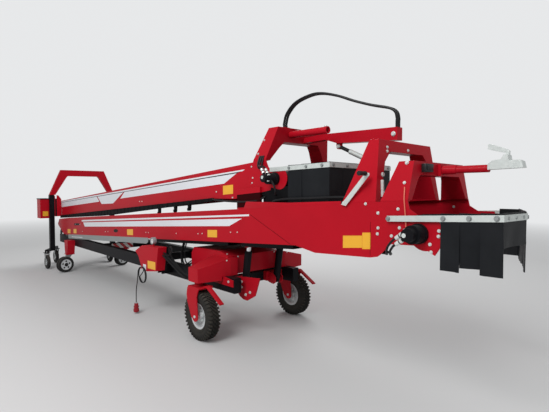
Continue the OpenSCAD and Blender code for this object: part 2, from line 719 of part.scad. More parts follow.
// The front is square on the near side and slants back towards the far side
hood_corner_y = -216;
HEAD_PLAN = [
    [head_hood_x - 50, -head_hood_half_w], [hood_nose_x - 30, -head_hood_half_w], [hood_nose_x, hood_corner_y],
    [hood_nose_x - 280, head_hood_half_w], [head_hood_x - 50, head_hood_half_w]];

module head_strip() color(galvanised) placed() {
    hood_wall(HEAD_PLAN, strip_t, [
        [head_hood_x, head_hood_line(head_hood_x) - strip_h / 2],
        [hood_nose_x + 1, head_hood_line(hood_nose_x) - strip_h / 2],
        [hood_nose_x + 1, head_hood_line(hood_nose_x) + strip_h / 2],
        [head_hood_x, head_hood_line(head_hood_x) + strip_h / 2]]);
    // spacers that hold the strip off the cheeks
    both_sides() for (x = [head_hood_x + 30, head_hood_x + 330])
        block([x, low_half_w, head_hood_line(x) - 6], [x + 50, head_hood_half_w - strip_t + 1, head_hood_line(x) + 8]);
}

head_curtain_x = low_drum_x + 171;
head_curtain_low_z = 1190;
front_curtain_low_z = 1385;
curtain_rise = 34;

module head_curtain() color(rubber) placed() difference() {
    hood_wall(inset(HEAD_PLAN, strip_t + seat_gap), curtain_t, [
        [head_curtain_x, head_curtain_low_z], [hood_nose_x, head_curtain_low_z],
        [hood_nose_x, head_hood_line(hood_nose_x) + curtain_rise],
        [head_curtain_x, head_hood_line(head_curtain_x) + curtain_rise]]);
    // the front piece hangs less low than the side and the slanted part
    block([hood_nose_x - 45, -low_half_w - 40, head_curtain_low_z - 10],
        [hood_nose_x + 1, hood_corner_y, front_curtain_low_z]);
}

/* Portals: an end outline cut to a side outline, so that legs lean inwards and taper upwards */
module portal(side_points, base_z, top_z, base_y, top_y, leg_w, beam_depth, gusset) intersection() {
    side_on(-base_y, base_y) polygon(side_points);
    end_on(side_points[0][0] - 200, side_points[1][0] + 400) difference() {
        polygon([
            [-base_y, base_z - 50], [-base_y, base_z], [-top_y, top_z], [top_y, top_z], [base_y, base_z],
            [base_y, base_z - 50]]);
        polygon([
            [-base_y + leg_w, base_z - 51], [-base_y + leg_w, base_z], [-top_y + leg_w, top_z - beam_depth - gusset],
            [-top_y + leg_w + gusset, top_z - beam_depth], [top_y - leg_w - gusset, top_z - beam_depth],
            [top_y - leg_w, top_z - beam_depth - gusset], [base_y - leg_w, base_z], [base_y - leg_w, base_z - 51]]);
    }
}

// Clearance of a welded foot over the plate's edge
weld_gap = 0.05;
middle_rear_x = 1810;
middle_front_x = 2150;
middle_top_z = 2180;

module middle_portal() color(red_paint) placed()
    portal([
        [middle_rear_x, low_top(middle_rear_x) + weld_gap], [middle_front_x, low_top(middle_front_x) + weld_gap],
        [middle_front_x - 45, middle_top_z], [middle_front_x - 140, middle_top_z]],
        1670, middle_top_z, low_half_w, 440, 70, 95, 90);

head_top_z = 1985;
head_rear_x = 2190;
head_foot_x = 2430;
head_lip_x = 2420;
// front face of the head portal at a height
function head_face_x(z) = head_foot_x
    + (head_lip_x - head_foot_x) * (z - low_top(head_foot_x)) / (head_top_z - low_top(head_foot_x));

module head_portal() color(red_paint) placed()
    portal([
        [head_rear_x, low_top(head_rear_x) + weld_gap], [head_foot_x, low_top(head_foot_x) + weld_gap],
        [head_lip_x, head_top_z], [head_rear_x + 100, head_top_z]],
        1675, head_top_z, low_half_w, 440, 60, 110, 30);

/* Tow tube with its ball coupling */
tow_z = 1925;
tow_r = 30;
sleeve_r = 37;
sleeve_x = 2560;
tow_plate_x = 2446;
coupling_x = 2808;
ball_r = 25;
ball_x = 2985;

module tow_tube() color(red_paint) placed() {
    bar_x(0, tow_z, tow_r, tow_plate_x - 1, coupling_x);
    bar_x(0, tow_z, sleeve_r, tow_plate_x - 1, sleeve_x);
    side_on(-50, 50) polygon([
        [head_face_x(tow_z - 52) + weld_gap, tow_z - 52], [tow_plate_x, tow_z - 52], [tow_plate_x, tow_z + 46],
        [head_face_x(tow_z + 46) + weld_gap, tow_z + 46]]);
}

module ball_coupling() color(galvanised) placed() difference() {
    union() {
        side_on(-42, 42) translate([coupling_x, tow_z]) polygon([
            [0, -11], [0, 30], [31, 56], [95, 66], [112, 97], [141, 97], [149, 55], [218, 55], [234, 45], [246, -4]]);
        // folding handle
        side_on(-12, 12) translate([coupling_x, tow_z]) polygon([
            [-9, 147], [-9, 183], [7, 187], [122, 141], [144, 125], [141, 90], [112, 90], [117, 110], [97, 115]]);
    }
    translate([ball_x, 0, tow_z - 8]) sphere(r = ball_r);
    translate([ball_x, 0, tow_z - 80]) cylinder(r = ball_r, h = 72);
}

/* Crank lever on the middle portal's near leg */
lever_y = -low_half_w - 14;

lever_foot = [1839, 1640];
lever_top = [2070, 1900];

module crank_lever() color(galvanised) placed() {
    bar_y(lever_foot[0], lever_foot[1] + 10, 14, lever_y - 8, -low_half_w);
    side_on(lever_y - 8, lever_y) polygon([
        lever_foot + [-22, -6], lever_foot + [21, -17], lever_top + [57, -14], lever_top + [50, 2],
        lever_top + [-54, 5]]);
    bar_y(lever_top[0] + 6, lever_top[1] - 8, 14, lever_y - 110, lever_y - 8);
}

/* Upper conveyor: side plates, bed, head and tail */
up_inner = up_half_w - plate_t;
nose_r = 112;
nose_x = up_drum_x + 58;
nose_top_z = 1962;

module upper_sides() color(red_paint) placed() both_sides() {
    side_on(up_inner, up_half_w) difference() {
        union() {
            polygon([
                [up_rear_x, up_bottom(up_rear_x)], [-300, up_bottom(-300)], [220, up_bottom(-300)],
                [up_front_x - 10, up_bottom(up_front_x) + 14], [up_front_x, nose_top_z],
                [up_front_x - 50, nose_top_z + 40], [upper_foot_x, up_top(upper_foot_x)],
                [up_rear_x + 60, up_top(up_rear_x + 60)], [up_rear_x, up_top(up_rear_x) - 60]]);
            translate([nose_x, up_drum_z]) circle(r = nose_r);
            polygon([
                [up_front_x - 10, up_drum_z - 90], [nose_x, up_drum_z - nose_r],
                [nose_x, up_drum_z + nose_r], [up_front_x - 10, nose_top_z]]);
        }
        translate([post_x, pivot_z]) circle(r = pivot_r + 3);
    }
    side_on(up_half_w - flange_w, up_inner) polygon([
        [up_rear_x + 60, up_top(up_rear_x + 60) - plate_t], [up_rear_x + 60, up_top(up_rear_x + 60)],
        [upper_foot_x, up_top(upper_foot_x)], [upper_foot_x, up_top(upper_foot_x) - plate_t]]);
    // bearing boss of the guide pivot
    difference() {
        bar_y(post_x, pivot_z, 62, up_half_w, up_half_w + 60);
        bar_y(post_x, pivot_z, pivot_r + pin_gap, up_half_w - 1, up_half_w + 61);
    }
}

up_tube_xs = [-5200, -3600, -2000, -400];
runner_x = 300;

module upper_bed() color(black_paint) placed() {
    side_on(-up_inner, up_inner) polygon([
        [up_tail_x + 140, up_line(up_tail_x + 140) - 24 - bed_t],
        [up_front_x - 30, up_line(up_front_x - 30) - 24 - bed_t],
        [up_front_x - 30, up_line(up_front_x - 30) - 24], [up_tail_x + 140, up_line(up_tail_x + 140) - 24]]);
    for (x = up_tube_xs)
        block([x - 20, -up_inner, up_bottom(x) + 2], [x + 20, up_inner, up_bottom(x) + 28]);
    // runners that carry the front end on the lower conveyor's flanges
    both_sides() side_on(up_half_w, low_half_w - 22) polygon([
        [runner_x, low_top(runner_x) + seat_gap], [runner_x + 400, low_top(runner_x + 400) + seat_gap],
        [runner_x + 400, up_bottom(runner_x + 400) + 60], [runner_x, up_bottom(runner_x) + 60]]);
}

module upper_drums() color(galvanised) placed() {
    drum(up_tail_x, up_line(up_tail_x), up_inner);
    drum(up_drum_x, up_drum_z, up_inner);
}

module upper_motor() color(black_paint) placed()
    translate([up_drum_x, -up_half_w, up_drum_z]) {
        hydraulic_motor(66);
        // ports that point up and back
        for (y = [-140, -85]) translate([-10, y, 30]) rotate([0, -35, 0]) cylinder(r = 12, h = 60);
    }

upper_hood_x = 830;
upper_hood_nose_x = 1635;
upper_hood_half_w = up_half_w + strip_t;
upper_hood_z = 1972;
upper_hood_slope = 1.2;
function upper_hood_line(x) = upper_hood_z + (x - upper_hood_x) * tan(upper_hood_slope);
UPPER_PLAN = [
    [upper_hood_x - 50, -upper_hood_half_w], [upper_hood_nose_x, -upper_hood_half_w],
    [upper_hood_nose_x, upper_hood_half_w], [upper_hood_x - 50, upper_hood_half_w]];

module upper_strip() color(galvanised) placed()
    hood_wall(UPPER_PLAN, strip_t, [
        [upper_hood_x, upper_hood_line(upper_hood_x) - strip_h / 2],
        [upper_hood_nose_x + 1, upper_hood_line(upper_hood_nose_x) - strip_h / 2],
        [upper_hood_nose_x + 1, upper_hood_line(upper_hood_nose_x) + strip_h / 2],
        [upper_hood_x, upper_hood_line(upper_hood_x) + strip_h / 2]]);

upper_curtain_x = nose_x + nose_r + 15;
upper_curtain_low_z = 1525;

module upper_curtain() color(rubber) placed()
    hood_wall(inset(UPPER_PLAN, strip_t + seat_gap), curtain_t, [
        [upper_curtain_x, upper_curtain_low_z], [upper_hood_nose_x, upper_curtain_low_z + 25],
        [upper_hood_nose_x, upper_hood_line(upper_hood_nose_x) + curtain_rise - 6],
        [upper_curtain_x, upper_hood_line(upper_curtain_x) + curtain_rise - 6]]);

upper_top_z = 2430;
upper_foot_x = 760;
upper_lip_x = 850;
// front face of the upper portal at a height
function upper_face_x(z) = upper_foot_x
    + (upper_lip_x - upper_foot_x) * (z - up_top(upper_foot_x)) / (upper_top_z - up_top(upper_foot_x));
socket_y = -200;
socket_z = upper_top_z - 70;
socket_x = 1360;
socket_r = 36;
socket_bore_r = 27;
socket_depth = 200;
clamp_y = -250;

module upper_portal() color(red_paint) placed() difference() {
    union() {
        portal([
            [upper_foot_x - 210, up_top(upper_foot_x - 210) + weld_gap],
            [upper_foot_x, up_top(upper_foot_x) + weld_gap], [upper_lip_x, upper_top_z],
            [upper_lip_x - 150, upper_top_z]],
            2090, upper_top_z, up_half_w, 400, 70, 150, 60);
        // clamp of the two cables
        block([780, clamp_y - 45, upper_top_z - 5], [824, clamp_y + 45, upper_top_z + 9]);
        // round socket tube that points forward
        bar_x(socket_y, socket_z, socket_r, upper_lip_x - 12, socket_x);
    }
    bar_x(socket_y, socket_z, socket_bore_r, socket_x - socket_depth, socket_x + 1);
}

arm_y0 = 20;
arm_y1 = 110;
arm_mid_y = (arm_y0 + arm_y1) / 2;
arm_tip_x = 1996;
arm_top_z = 2362;
arm_tip_z = 2341;
strut_top = [1294, 2218];
strut_foot = [upper_hood_nose_x + 2, 2064];
strut_r = 18;
arm_low_z = 2290;
arm_root_z = 2345;

module upper_arm() color(red_paint) placed() {
    side_on(arm_y0, arm_y1) polygon([
        [upper_face_x(arm_low_z) + weld_gap, arm_low_z], [strut_top[0] - 162, arm_low_z + 10],
        [strut_top[0], strut_top[1] + 31], [arm_tip_x, strut_top[1] + 2], [arm_tip_x, arm_tip_z], [1100, arm_top_z],
        [upper_face_x(arm_root_z) + weld_gap, arm_root_z]]);
    // eye of the strut, the strut and its plate against the hood's front
    side_on(arm_mid_y - 15, arm_mid_y + 15) {
        translate(strut_top) circle(r = 30);
        translate(strut_top - [30, 0]) square([60, 40]);
    }
    strut = strut_foot - strut_top;
    translate([strut_top[0], arm_mid_y, strut_top[1]])
        rotate([0, 90 + atan2(-strut[1], strut[0]), 0]) cylinder(r = strut_r, h = norm(strut));
    block([upper_hood_nose_x + weld_gap, arm_y0, upper_hood_line(upper_hood_nose_x) - strip_h / 2],
        [upper_hood_nose_x + 8, arm_y1, strut_foot[1] + 24]);
}

// Two cables over the telescope's front end, clamped to the portal and to the arm
cable_r = 13;
clamp_top_z = upper_top_z + 9 + seat_gap;
arch_route = [
    [800, clamp_y, clamp_top_z], [800, clamp_y, 2455], [800, clamp_y, 2480], [832, -242, 2583], [934, -214, 2690],
    [1100, -170, 2748], [1232, -135, 2750], [1398, -91, 2704], [1557, -49, 2637], [1732, -2, 2575],
    [1898, 42, 2529], [1960, 59, 2488], [1976, 65, 2430], [1976, 65, 2400], [1976, 65, 2342.4]];

module arch_cables() color(rubber) placed() for (s = [-1, 1])
    hose([for (p = route(arch_route, 3)) p + [0, 18 * s, 0]], cable_r, 8, [0, 1, 0]);

/* Tail guides: channels that slide on the gantry's posts and hinge on the upper conveyor */
pivot_z = 1400;
pivot_r = 30;
guide_h = 480;
guide_t = 12;

module tail_guides() color(red_paint) placed() both_sides() {
    gi = post_y - post_w / 2 - guide_gap;
    gx = post_w / 2 + guide_gap;
    block([post_x - gx - guide_t, gi - guide_t, pivot_z - guide_h / 2],
        [post_x + gx + guide_t, gi, pivot_z + guide_h / 2]);
    for (s = [-1, 1]) translate([post_x + s * (gx + guide_t / 2), 0, 0])
        block([-guide_t / 2, gi, pivot_z - guide_h / 2],
            [guide_t / 2, post_y + post_w / 2 - 12, pivot_z + guide_h / 2]);
    bar_y(post_x, pivot_z, pivot_r, up_half_w + 5, gi - guide_t);
}

/* Gantry: posts on foot bars with castors, and a portal over the belt */
foot_z = castor_h + 10;
foot_h = 60;

module gantry_posts() color(black_paint) placed() for (s = [-1, 1]) {
    y_front = s * (s < 0 ? outer_castor_y : inner_castor_y);
    y_rear = s * (s < 0 ? inner_castor_y : outer_castor_y);
    difference() {
        union() {
            block([post_x - post_w / 2, s * post_y - post_w / 2, foot_z],
                [post_x + post_w / 2, s * post_y + post_w / 2, post_top_z]);
            translate([0, 0, foot_z]) linear_extrude(foot_h) {
                w = 40;
                polygon([
                    [castor_front_x, y_front - w], [castor_front_x, y_front + w],
                    [castor_rear_x, y_rear + w], [castor_rear_x, y_rear - w]]);
            }
            for (c = [[castor_front_x, y_front], [castor_rear_x, y_rear]])
                block([c[0] - 60, c[1] - 60, castor_h], [c[0] + 60, c[1] + 60, foot_z]);
        }
        for (c = [[castor_front_x, y_front], [castor_rear_x, y_rear]])
            translate([c[0], c[1], castor_h - 1]) cylinder(r = 12 + pin_gap, h = 40);
    }
}

module gantry_portal() color(red_paint) placed()
    portal([
        [post_x - 45, post_top_z], [post_x + 45, post_top_z], [post_x + 45, gantry_top_z],
        [post_x - 45, gantry_top_z]],
        post_top_z + 1, gantry_top_z, post_y + 45, 495, 120, 140, 30);

cabinet_l = 300;
cabinet_low_z = 1120;
cabinet_roof_z = 1560;
roof_t = 20;
roof_reach = 14;
cabinet_x1 = post_x - 10;
cabinet_x0 = cabinet_x1 - cabinet_l;

module gantry_cabinet() color(red_paint) placed() {
    side_y = -post_y - post_w / 2;
    block([cabinet_x0 + roof_reach, -gantry_half_w + 8, cabinet_low_z], [cabinet_x1, side_y, cabinet_roof_z]);
    // black overhanging roof
    block([cabinet_x0, -gantry_half_w, cabinet_roof_z],
        [cabinet_x1 + roof_reach, side_y, cabinet_roof_z + roof_t]);
}

module castor_fork() {
    difference() {
        union() {
            translate([0, 0, castor_h - 8]) cylinder(r = 12, h = 42);
            translate([0, 0, castor_h - 14]) cylinder(r = 48, h = 14 - seat_gap);
            block([-40, -castor_w / 2 - 14, castor_h - 28], [castor_trail + 10, castor_w / 2 + 14, castor_h - 14]);
            for (s = [-1, 1]) translate([0, s * (castor_w / 2 + 10), 0]) side_on(-4, 4) {
                polygon([
                    [-40, castor_h - 16], [castor_trail + 10, castor_h - 16], [castor_trail + 24, castor_r + 8],
                    [castor_trail - 20, castor_r - 14]]);
                translate([castor_trail, castor_r]) circle(r = 24);
            }
        }
        bar_y(castor_trail, castor_r, 8 + pin_gap, -60, 60);
    }
}

module castor_wheel() translate([castor_trail, 0, castor_r]) {
    bar_y(0, 0, 8, -castor_w / 2 - 16, castor_w / 2 + 16);
    rotate([90, 0, 0]) rotate_extrude() polygon([
        [7, -castor_w / 2], [30, -castor_w / 2], [34, -10], [castor_r - 48, -10], [castor_r - 40, -castor_w / 2],
        [castor_r - 12, -castor_w / 2], [castor_r, -castor_w / 2 + 12], [castor_r, castor_w / 2 - 12],
        [castor_r - 12, castor_w / 2], [castor_r - 40, castor_w / 2], [castor_r - 48, 10], [34, 10],
        [30, castor_w / 2], [7, castor_w / 2]]);
}

// A castor piece at its place in the table, turned to its own trailing direction
module at_castor(i) translate([CASTORS[i][0], CASTORS[i][1] * CASTORS[i][2], 0])
    rotate([0, 0, CASTORS[i][3] < 0 ? 180 : 0]) children();

module castor_fork_1() color(galvanised) placed() at_castor(0) castor_fork();
module castor_fork_2() color(galvanised) placed() at_castor(1) castor_fork();
module castor_fork_3() color(galvanised) placed() at_castor(2) castor_fork();
module castor_fork_4() color(galvanised) placed() at_castor(3) castor_fork();
module castor_wheel_1() color(rubber) placed() at_castor(0) castor_wheel();
module castor_wheel_2() color(rubber) placed() at_castor(1) castor_wheel();
module castor_wheel_3() color(rubber) placed() at_castor(2) castor_wheel();
module castor_wheel_4() color(rubber) placed() at_castor(3) castor_wheel();

chassis_frame();
axle_beam();
lift_brackets();
tail_legs();
console();
warning_panel();
supply_cord();
supply_coil();
supply_plug();
fork_near();
tyre_near();
rim_near();
fork_far();
tyre_far();
rim_far();
tail_castor_near();
tail_wheels_near();
tail_castor_far();
tail_wheels_far();
lift_barrels();
lift_rods();
lower_sides();
lower_bed();
hinge_arms();
lift_beam();
hose_tray();
lower_belt();
lower_drums();
lower_guards();
head_cheeks();
head_motor();
head_strip();
head_curtain();
middle_portal();
head_portal();
tow_tube();
ball_coupling();
crank_lever();
upper_sides();
upper_bed();
upper_belt();
upper_drums();
upper_portal();
upper_arm();
upper_motor();
upper_strip();
upper_curtain();
arch_cables();
tail_guides();
gantry_posts();
gantry_portal();
gantry_cabinet();
castor_fork_1();
castor_wheel_1();
castor_fork_2();
castor_wheel_2();
castor_fork_3();
castor_wheel_3();
castor_fork_4();
castor_wheel_4();
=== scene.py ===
import math
from functools import partialmethod

import bmesh
import bpy
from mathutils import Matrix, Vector


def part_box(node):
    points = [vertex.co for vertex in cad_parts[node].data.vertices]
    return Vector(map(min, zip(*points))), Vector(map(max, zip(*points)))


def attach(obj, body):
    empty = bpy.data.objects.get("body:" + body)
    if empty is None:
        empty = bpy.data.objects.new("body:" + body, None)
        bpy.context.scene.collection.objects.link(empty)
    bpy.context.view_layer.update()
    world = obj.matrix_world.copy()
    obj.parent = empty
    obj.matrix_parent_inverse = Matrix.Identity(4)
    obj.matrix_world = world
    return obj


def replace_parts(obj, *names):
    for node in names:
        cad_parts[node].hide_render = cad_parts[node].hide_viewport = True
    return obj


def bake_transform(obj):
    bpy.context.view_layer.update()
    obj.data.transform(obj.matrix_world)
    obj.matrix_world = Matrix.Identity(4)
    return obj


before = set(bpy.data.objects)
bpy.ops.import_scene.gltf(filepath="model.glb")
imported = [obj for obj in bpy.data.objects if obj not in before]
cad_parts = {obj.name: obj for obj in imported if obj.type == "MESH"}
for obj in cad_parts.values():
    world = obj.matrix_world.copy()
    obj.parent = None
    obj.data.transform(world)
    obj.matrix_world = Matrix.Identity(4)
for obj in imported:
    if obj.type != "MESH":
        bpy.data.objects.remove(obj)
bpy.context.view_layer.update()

# Lengthwise places are counted as on the CAD source's drawing, whose zero lies 80 mm ahead of the
# main wheels' axles. Where that is in the frame is read from the tyre, which is a CAD piece.
WHEEL_X = -0.080
tyre_low, tyre_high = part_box("tyre_near")
DRAWING_ZERO = (tyre_low.x + tyre_high.x) / 2 - WHEEL_X
LOWER, UPPER = "lower_conveyor", "upper_conveyor"


def at(x, y, z):
    """A point given as on the drawing, in metres."""
    return Vector((DRAWING_ZERO + x, y, z))


def middle_of(node):
    """The middle of a CAD node's box."""
    low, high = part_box(node)
    return (low + high) / 2


def placed(name, data):
    """A new object in the scene."""
    obj = bpy.data.objects.new(name, data)
    bpy.context.scene.collection.objects.link(obj)
    return obj


# Camera: it stands in front of the discharge head on the near side, at a standing person's eye
# height, and looks back along the machine and a little down.
PICTURE_W = 549
FOCAL_IN_PICTURE = 412
SENSOR_W = 36
LOOKS_DOWN, LOOKS_ROUND = 2.08, 47.3
camera_data = bpy.data.cameras.new("camera")
camera_data.sensor_width = SENSOR_W
camera_data.lens = FOCAL_IN_PICTURE * SENSOR_W / PICTURE_W
camera_data.clip_end = 400
camera = placed("camera", camera_data)
camera.location = at(4.03, -3.39, 1.75)
camera.rotation_euler = (math.radians(90 - LOOKS_DOWN), 0, math.radians(LOOKS_ROUND))
bpy.context.scene.camera = camera


# Supply cord: a rubber-sheathed power lead that leaves the console's gland, hangs in two turns on
# the peg and drops to its red plug. It is one length of cable, swept along its own middle line.
CORD_R = 0.0065
COIL_R = 0.110
COIL_TURNS = 2
STEPS_A_TURN = 16
TURN_STEP = 0.0136


class Wire:
    """A shader socket that can stand in a sum: each operator adds its Math node."""

    def __init__(self, tree, socket):
        self.tree = tree
        self.socket = socket

    def math(self, operation, *terms, clamp=False):
        node = self.tree.nodes.new("ShaderNodeMath")
        node.operation = operation
        node.use_clamp = clamp
        for entry, term in zip(node.inputs, (self, *terms)):
            feed(self.tree, entry, term)
        return Wire(self.tree, node.outputs[0])

    __add__ = partialmethod(math, "ADD")
    __sub__ = partialmethod(math, "SUBTRACT")
    __mul__ = partialmethod(math, "MULTIPLY")
    __truediv__ = partialmethod(math, "DIVIDE")
    __gt__ = partialmethod(math, "GREATER_THAN")


def feed(tree, entry, value):
    """Links a wire to a socket, or writes a plain value on it."""
    if isinstance(value, Wire):
        tree.links.new(value.socket, entry)
    elif entry.type == "RGBA" and len(value) == 3:
        entry.default_value = (*value, 1)
    else:
        entry.default_value = value


class Graph:
    """A node tree as it is built: add() makes a node, feeds its sockets and gives one output's wire."""

    def __init__(self, tree):
        self.tree = tree

    def add(self, kind, sockets=None, out=0, **settings):
        node = self.tree.nodes.new(kind)
        for name, value in settings.items():
            setattr(node, name, value)
        for name, value in (sockets or {}).items():
            feed(self.tree, node.inputs[name], value)
        return Wire(self.tree, node.outputs[out])


class Finish(Graph):
    """A material as it is mixed. The slot it is given is not used."""

    def __init__(self, name, slot="red_paint"):
        self.material = bpy.data.materials.new(name)
        self.material.use_nodes = True
        super().__init__(self.material.node_tree)
        self.shader = self.tree.nodes["Principled BSDF"]
        self.place = self.add("ShaderNodeTexCoord", out="Object")

    def noise(self, scale, detail, **sockets):
        return self.add("ShaderNodeTexNoise", {"Vector": self.place, "Scale": scale, "Detail": detail, **sockets})

    def part(self, axis, wire=None):
        """One of the three parts of a wire, or of the place on the object."""
        return self.add("ShaderNodeSeparateXYZ", {0: wire or self.place}, axis)

    def upward(self):
        """How far the skin faces up."""
        return self.part(2, self.add("ShaderNodeNewGeometry", out="Normal"))

    def mixed(self, factor, first, second):
        """A colour between two colours."""
        return self.add("ShaderNodeMix", {0: factor, 6: first, 7: second}, 2, data_type="RGBA")

    def surface(self, bump=None, depth=0.001, strength=0.3, **sockets):
        """Sets what the skin looks like."""
        if bump is not None:
            sockets["Normal"] = self.add("ShaderNodeBump", {"Height": bump, "Distance": depth, "Strength": strength})
        for name, value in sockets.items():
            feed(self.tree, self.shader.inputs[name.replace("_", " ")], value)
        return self.material


def shaded(colour, share):
    return tuple(min(1, c * share) for c in colour)


def rubber(name, dark=(0.012, 0.012, 0.013), light=(0.026, 0.025, 0.024), rough=0.55, dust=0.0, sheen=0.2,
        slot="cord_rubber"):
    """Rubber: a near-black skin with a fine grain, and pale dust where it faces up."""
    f = Finish(name, slot)
    clouds = f.noise(6, 4)
    lying = (f.upward() * 0.8 + 0.1).math("MULTIPLY", clouds, clamp=True) * dust
    return f.surface(bump=f.noise(540, 2), depth=0.0008, strength=0.35, Specular_IOR_Level=sheen,
        Base_Color=f.mixed(lying, f.mixed(clouds, dark, light), (0.26, 0.22, 0.17)),
        Roughness=clouds * 0.12 + (rough - 0.06) + lying * 0.4)


def new_piece(name, form, material, body, round_off=0.0):
    """A mesh or a shape as a piece that rides on a body."""
    mesh = form.mesh(name, round_off) if isinstance(form, Shape) else form
    mesh.materials.clear()
    mesh.materials.append(material)
    piece = placed(name, mesh)
    if body is not None:
        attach(piece, body)
    return piece


def settled(obj):
    """What an object's modifiers or curve settings make, as a plain mesh. The object goes."""
    bpy.context.view_layer.update()
    shaped = obj.evaluated_get(bpy.context.evaluated_depsgraph_get())
    mesh = bpy.data.meshes.new_from_object(shaped)
    bpy.data.objects.remove(obj)
    return mesh


def rounded(obj, width, angle):
    """Rounds an object's edges that are sharper than an angle."""
    edges = obj.modifiers.new("edges", "BEVEL")
    edges.width = width
    edges.segments = 2
    edges.limit_method = "ANGLE"
    edges.angle_limit = math.radians(angle)
    return edges


def smooth_line(points, steps):
    """Points on a smooth curve that passes through the given ones."""
    line = []
    last = len(points) - 1
    for i in range(last):
        a, b, c, d = (points[max(0, min(last, i + k))] for k in (-1, 0, 1, 2))
        for k in range(steps):
            t = k / steps
            line.append(0.5 * (2 * b + (c - a) * t + (2 * a - 5 * b + 4 * c - d) * t * t
                + (3 * b - a - 3 * c + d) * t ** 3))
    line.append(points[last])
    return line


def tube_mesh(line, radius, sides=12):
    """A round tube with closed ends along a line of points."""
    bent = bpy.data.curves.new("line", "CURVE")
    bent.dimensions = "3D"
    bent.bevel_depth = radius
    bent.bevel_resolution = max(0, sides // 4 - 1)
    bent.use_fill_caps = True
    spline = bent.splines.new("POLY")
    spline.points.add(len(line) - 1)
    for point, place in zip(spline.points, line):
        point.co = (*place, 1)
    mesh = settled(placed("line", bent))
    mesh.polygons.foreach_set("use_smooth", [len(p.vertices) == 4 for p in mesh.polygons])
    return mesh


class Shape:
    """A mesh that is put together from turned bodies and flat plates."""

    def __init__(self):
        self.built = bmesh.new()

    def loft(self, sections, smooth=False, capped=True):
        """A skin through rings of points, closed at both ends."""
        rings = [[self.built.verts.new(point) for point in section] for section in sections]
        for first, second in zip(rings, rings[1:]):
            for k in range(len(first)):
                after = (k + 1) % len(first)
                self.built.faces.new((first[k], first[after], second[after], second[k])).smooth = smooth
        if capped:
            self.built.faces.new(rings[0][::-1])
            self.built.faces.new(rings[-1])
        return self

    def turned(self, start, forward, profile, steps=24, capped=True):
        """Rings round a line from a point; the profile lists (distance along it, radius)."""
        forward = Vector(forward).normalized()
        side = forward.orthogonal().normalized()
        up = forward.cross(side)
        return self.loft([[start + forward * along + radius * (math.cos(a) * side + math.sin(a) * up)
            for a in (2 * math.pi * k / steps for k in range(steps))] for along, radius in profile], True, capped)

    def side_plate(self, outline, y_low, y_high):
        """A flat plate along the machine, cut to an outline of (x, z) points."""
        return self.loft([[at(x, y, z) for x, z in outline] for y in (y_low, y_high)])

    def box(self, low, high):
        return self.side_plate([(low[0], low[2]), (high[0], low[2]), (high[0], high[2]), (low[0], high[2])],
            low[1], high[1])

    def add(self, mesh):
        self.built.from_mesh(mesh)
        return self

    def mesh(self, name, round_off=0.0):
        bmesh.ops.remove_doubles(self.built, verts=self.built.verts, dist=0.000005)
        bmesh.ops.recalc_face_normals(self.built, faces=self.built.faces)
        mesh = bpy.data.meshes.new(name)
        self.built.to_mesh(mesh)
        self.built.free()
        if round_off:
            carrier = placed("carrier", mesh)
            rounded(carrier, round_off, 40)
            mesh = settled(carrier)
        mesh.set_sharp_from_angle(angle=math.radians(35))
        return mesh


# The route from the gland to the coil and from the coil to the plug: the CAD solids' own, with the
# way into the coil eased, so that its bends stay near four diameters.
gland = at(-1.530, -0.800, 0.6397)
to_coil = [gland, at(-1.530, -0.8005, 0.628), at(-1.530, -0.804, 0.612), at(-1.531, -0.815, 0.592),
    at(-1.529, -0.832, 0.570)]
to_plug = [at(-1.539, -0.886, 0.530), at(-1.560, -0.884, 0.460), at(-1.582, -0.884, 0.390),
    at(-1.596, -0.884, 0.320), at(-1.600, -0.884, 0.250), at(-1.600, -0.884, 0.165)]
coil_middle = middle_of("supply_coil")
first_turn_y = coil_middle.y + COIL_TURNS * TURN_STEP / 2
turn_points = []
for step in range(1, COIL_TURNS * STEPS_A_TURN + 1):
    turned = step / STEPS_A_TURN
    angle = math.pi + 2 * math.pi * turned
    turn_points.append(Vector((
        coil_middle.x + COIL_R * math.cos(angle), first_turn_y - turned * TURN_STEP,
        coil_middle.z + COIL_R * math.sin(angle))))
cord_line = smooth_line(to_coil + turn_points + to_plug, 4)
cord_rubber = rubber("cord_rubber", light=(0.022, 0.022, 0.024), rough=0.42)
supply_lead = new_piece("supply_lead", tube_mesh(cord_line, CORD_R), cord_rubber, "chassis")
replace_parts(supply_lead, "supply_cord", "supply_coil")


# Strain relief and plug: a tapered rubber sleeve in the console's gland keeps the lead from kinking,
# and a moulded plug with a screwed collar and a grey gland nut ends it.
RELIEF_LONG = 0.036
DOWN = (0, 0, -1)
relief = Shape().turned(at(-1.530, -0.800, 0.652), DOWN, [
    (0, 0.0135), (0.006, 0.0135), (0.008, 0.0118), (0.014, 0.0116), (0.015, 0.0106), (0.020, 0.0104), (0.021, 0.0095),
    (0.027, 0.0092), (0.028, 0.0084), (RELIEF_LONG, 0.0078)])
cord_relief = new_piece("cord_relief", relief, cord_rubber, "chassis")


def moulded(name, colour, rough=0.4, sheen=0.3, slot="cord_rubber"):
    """Moulded plastic: even colour with a faint flow pattern and a soft grain."""
    f = Finish(name, slot)
    flow = f.noise(24, 3)
    return f.surface(bump=f.noise(900, 1), depth=0.0003, strength=0.3, Specular_IOR_Level=sheen,
        Base_Color=f.mixed(flow, shaded(colour, 0.86), colour), Roughness=flow * 0.16 + (rough - 0.08))


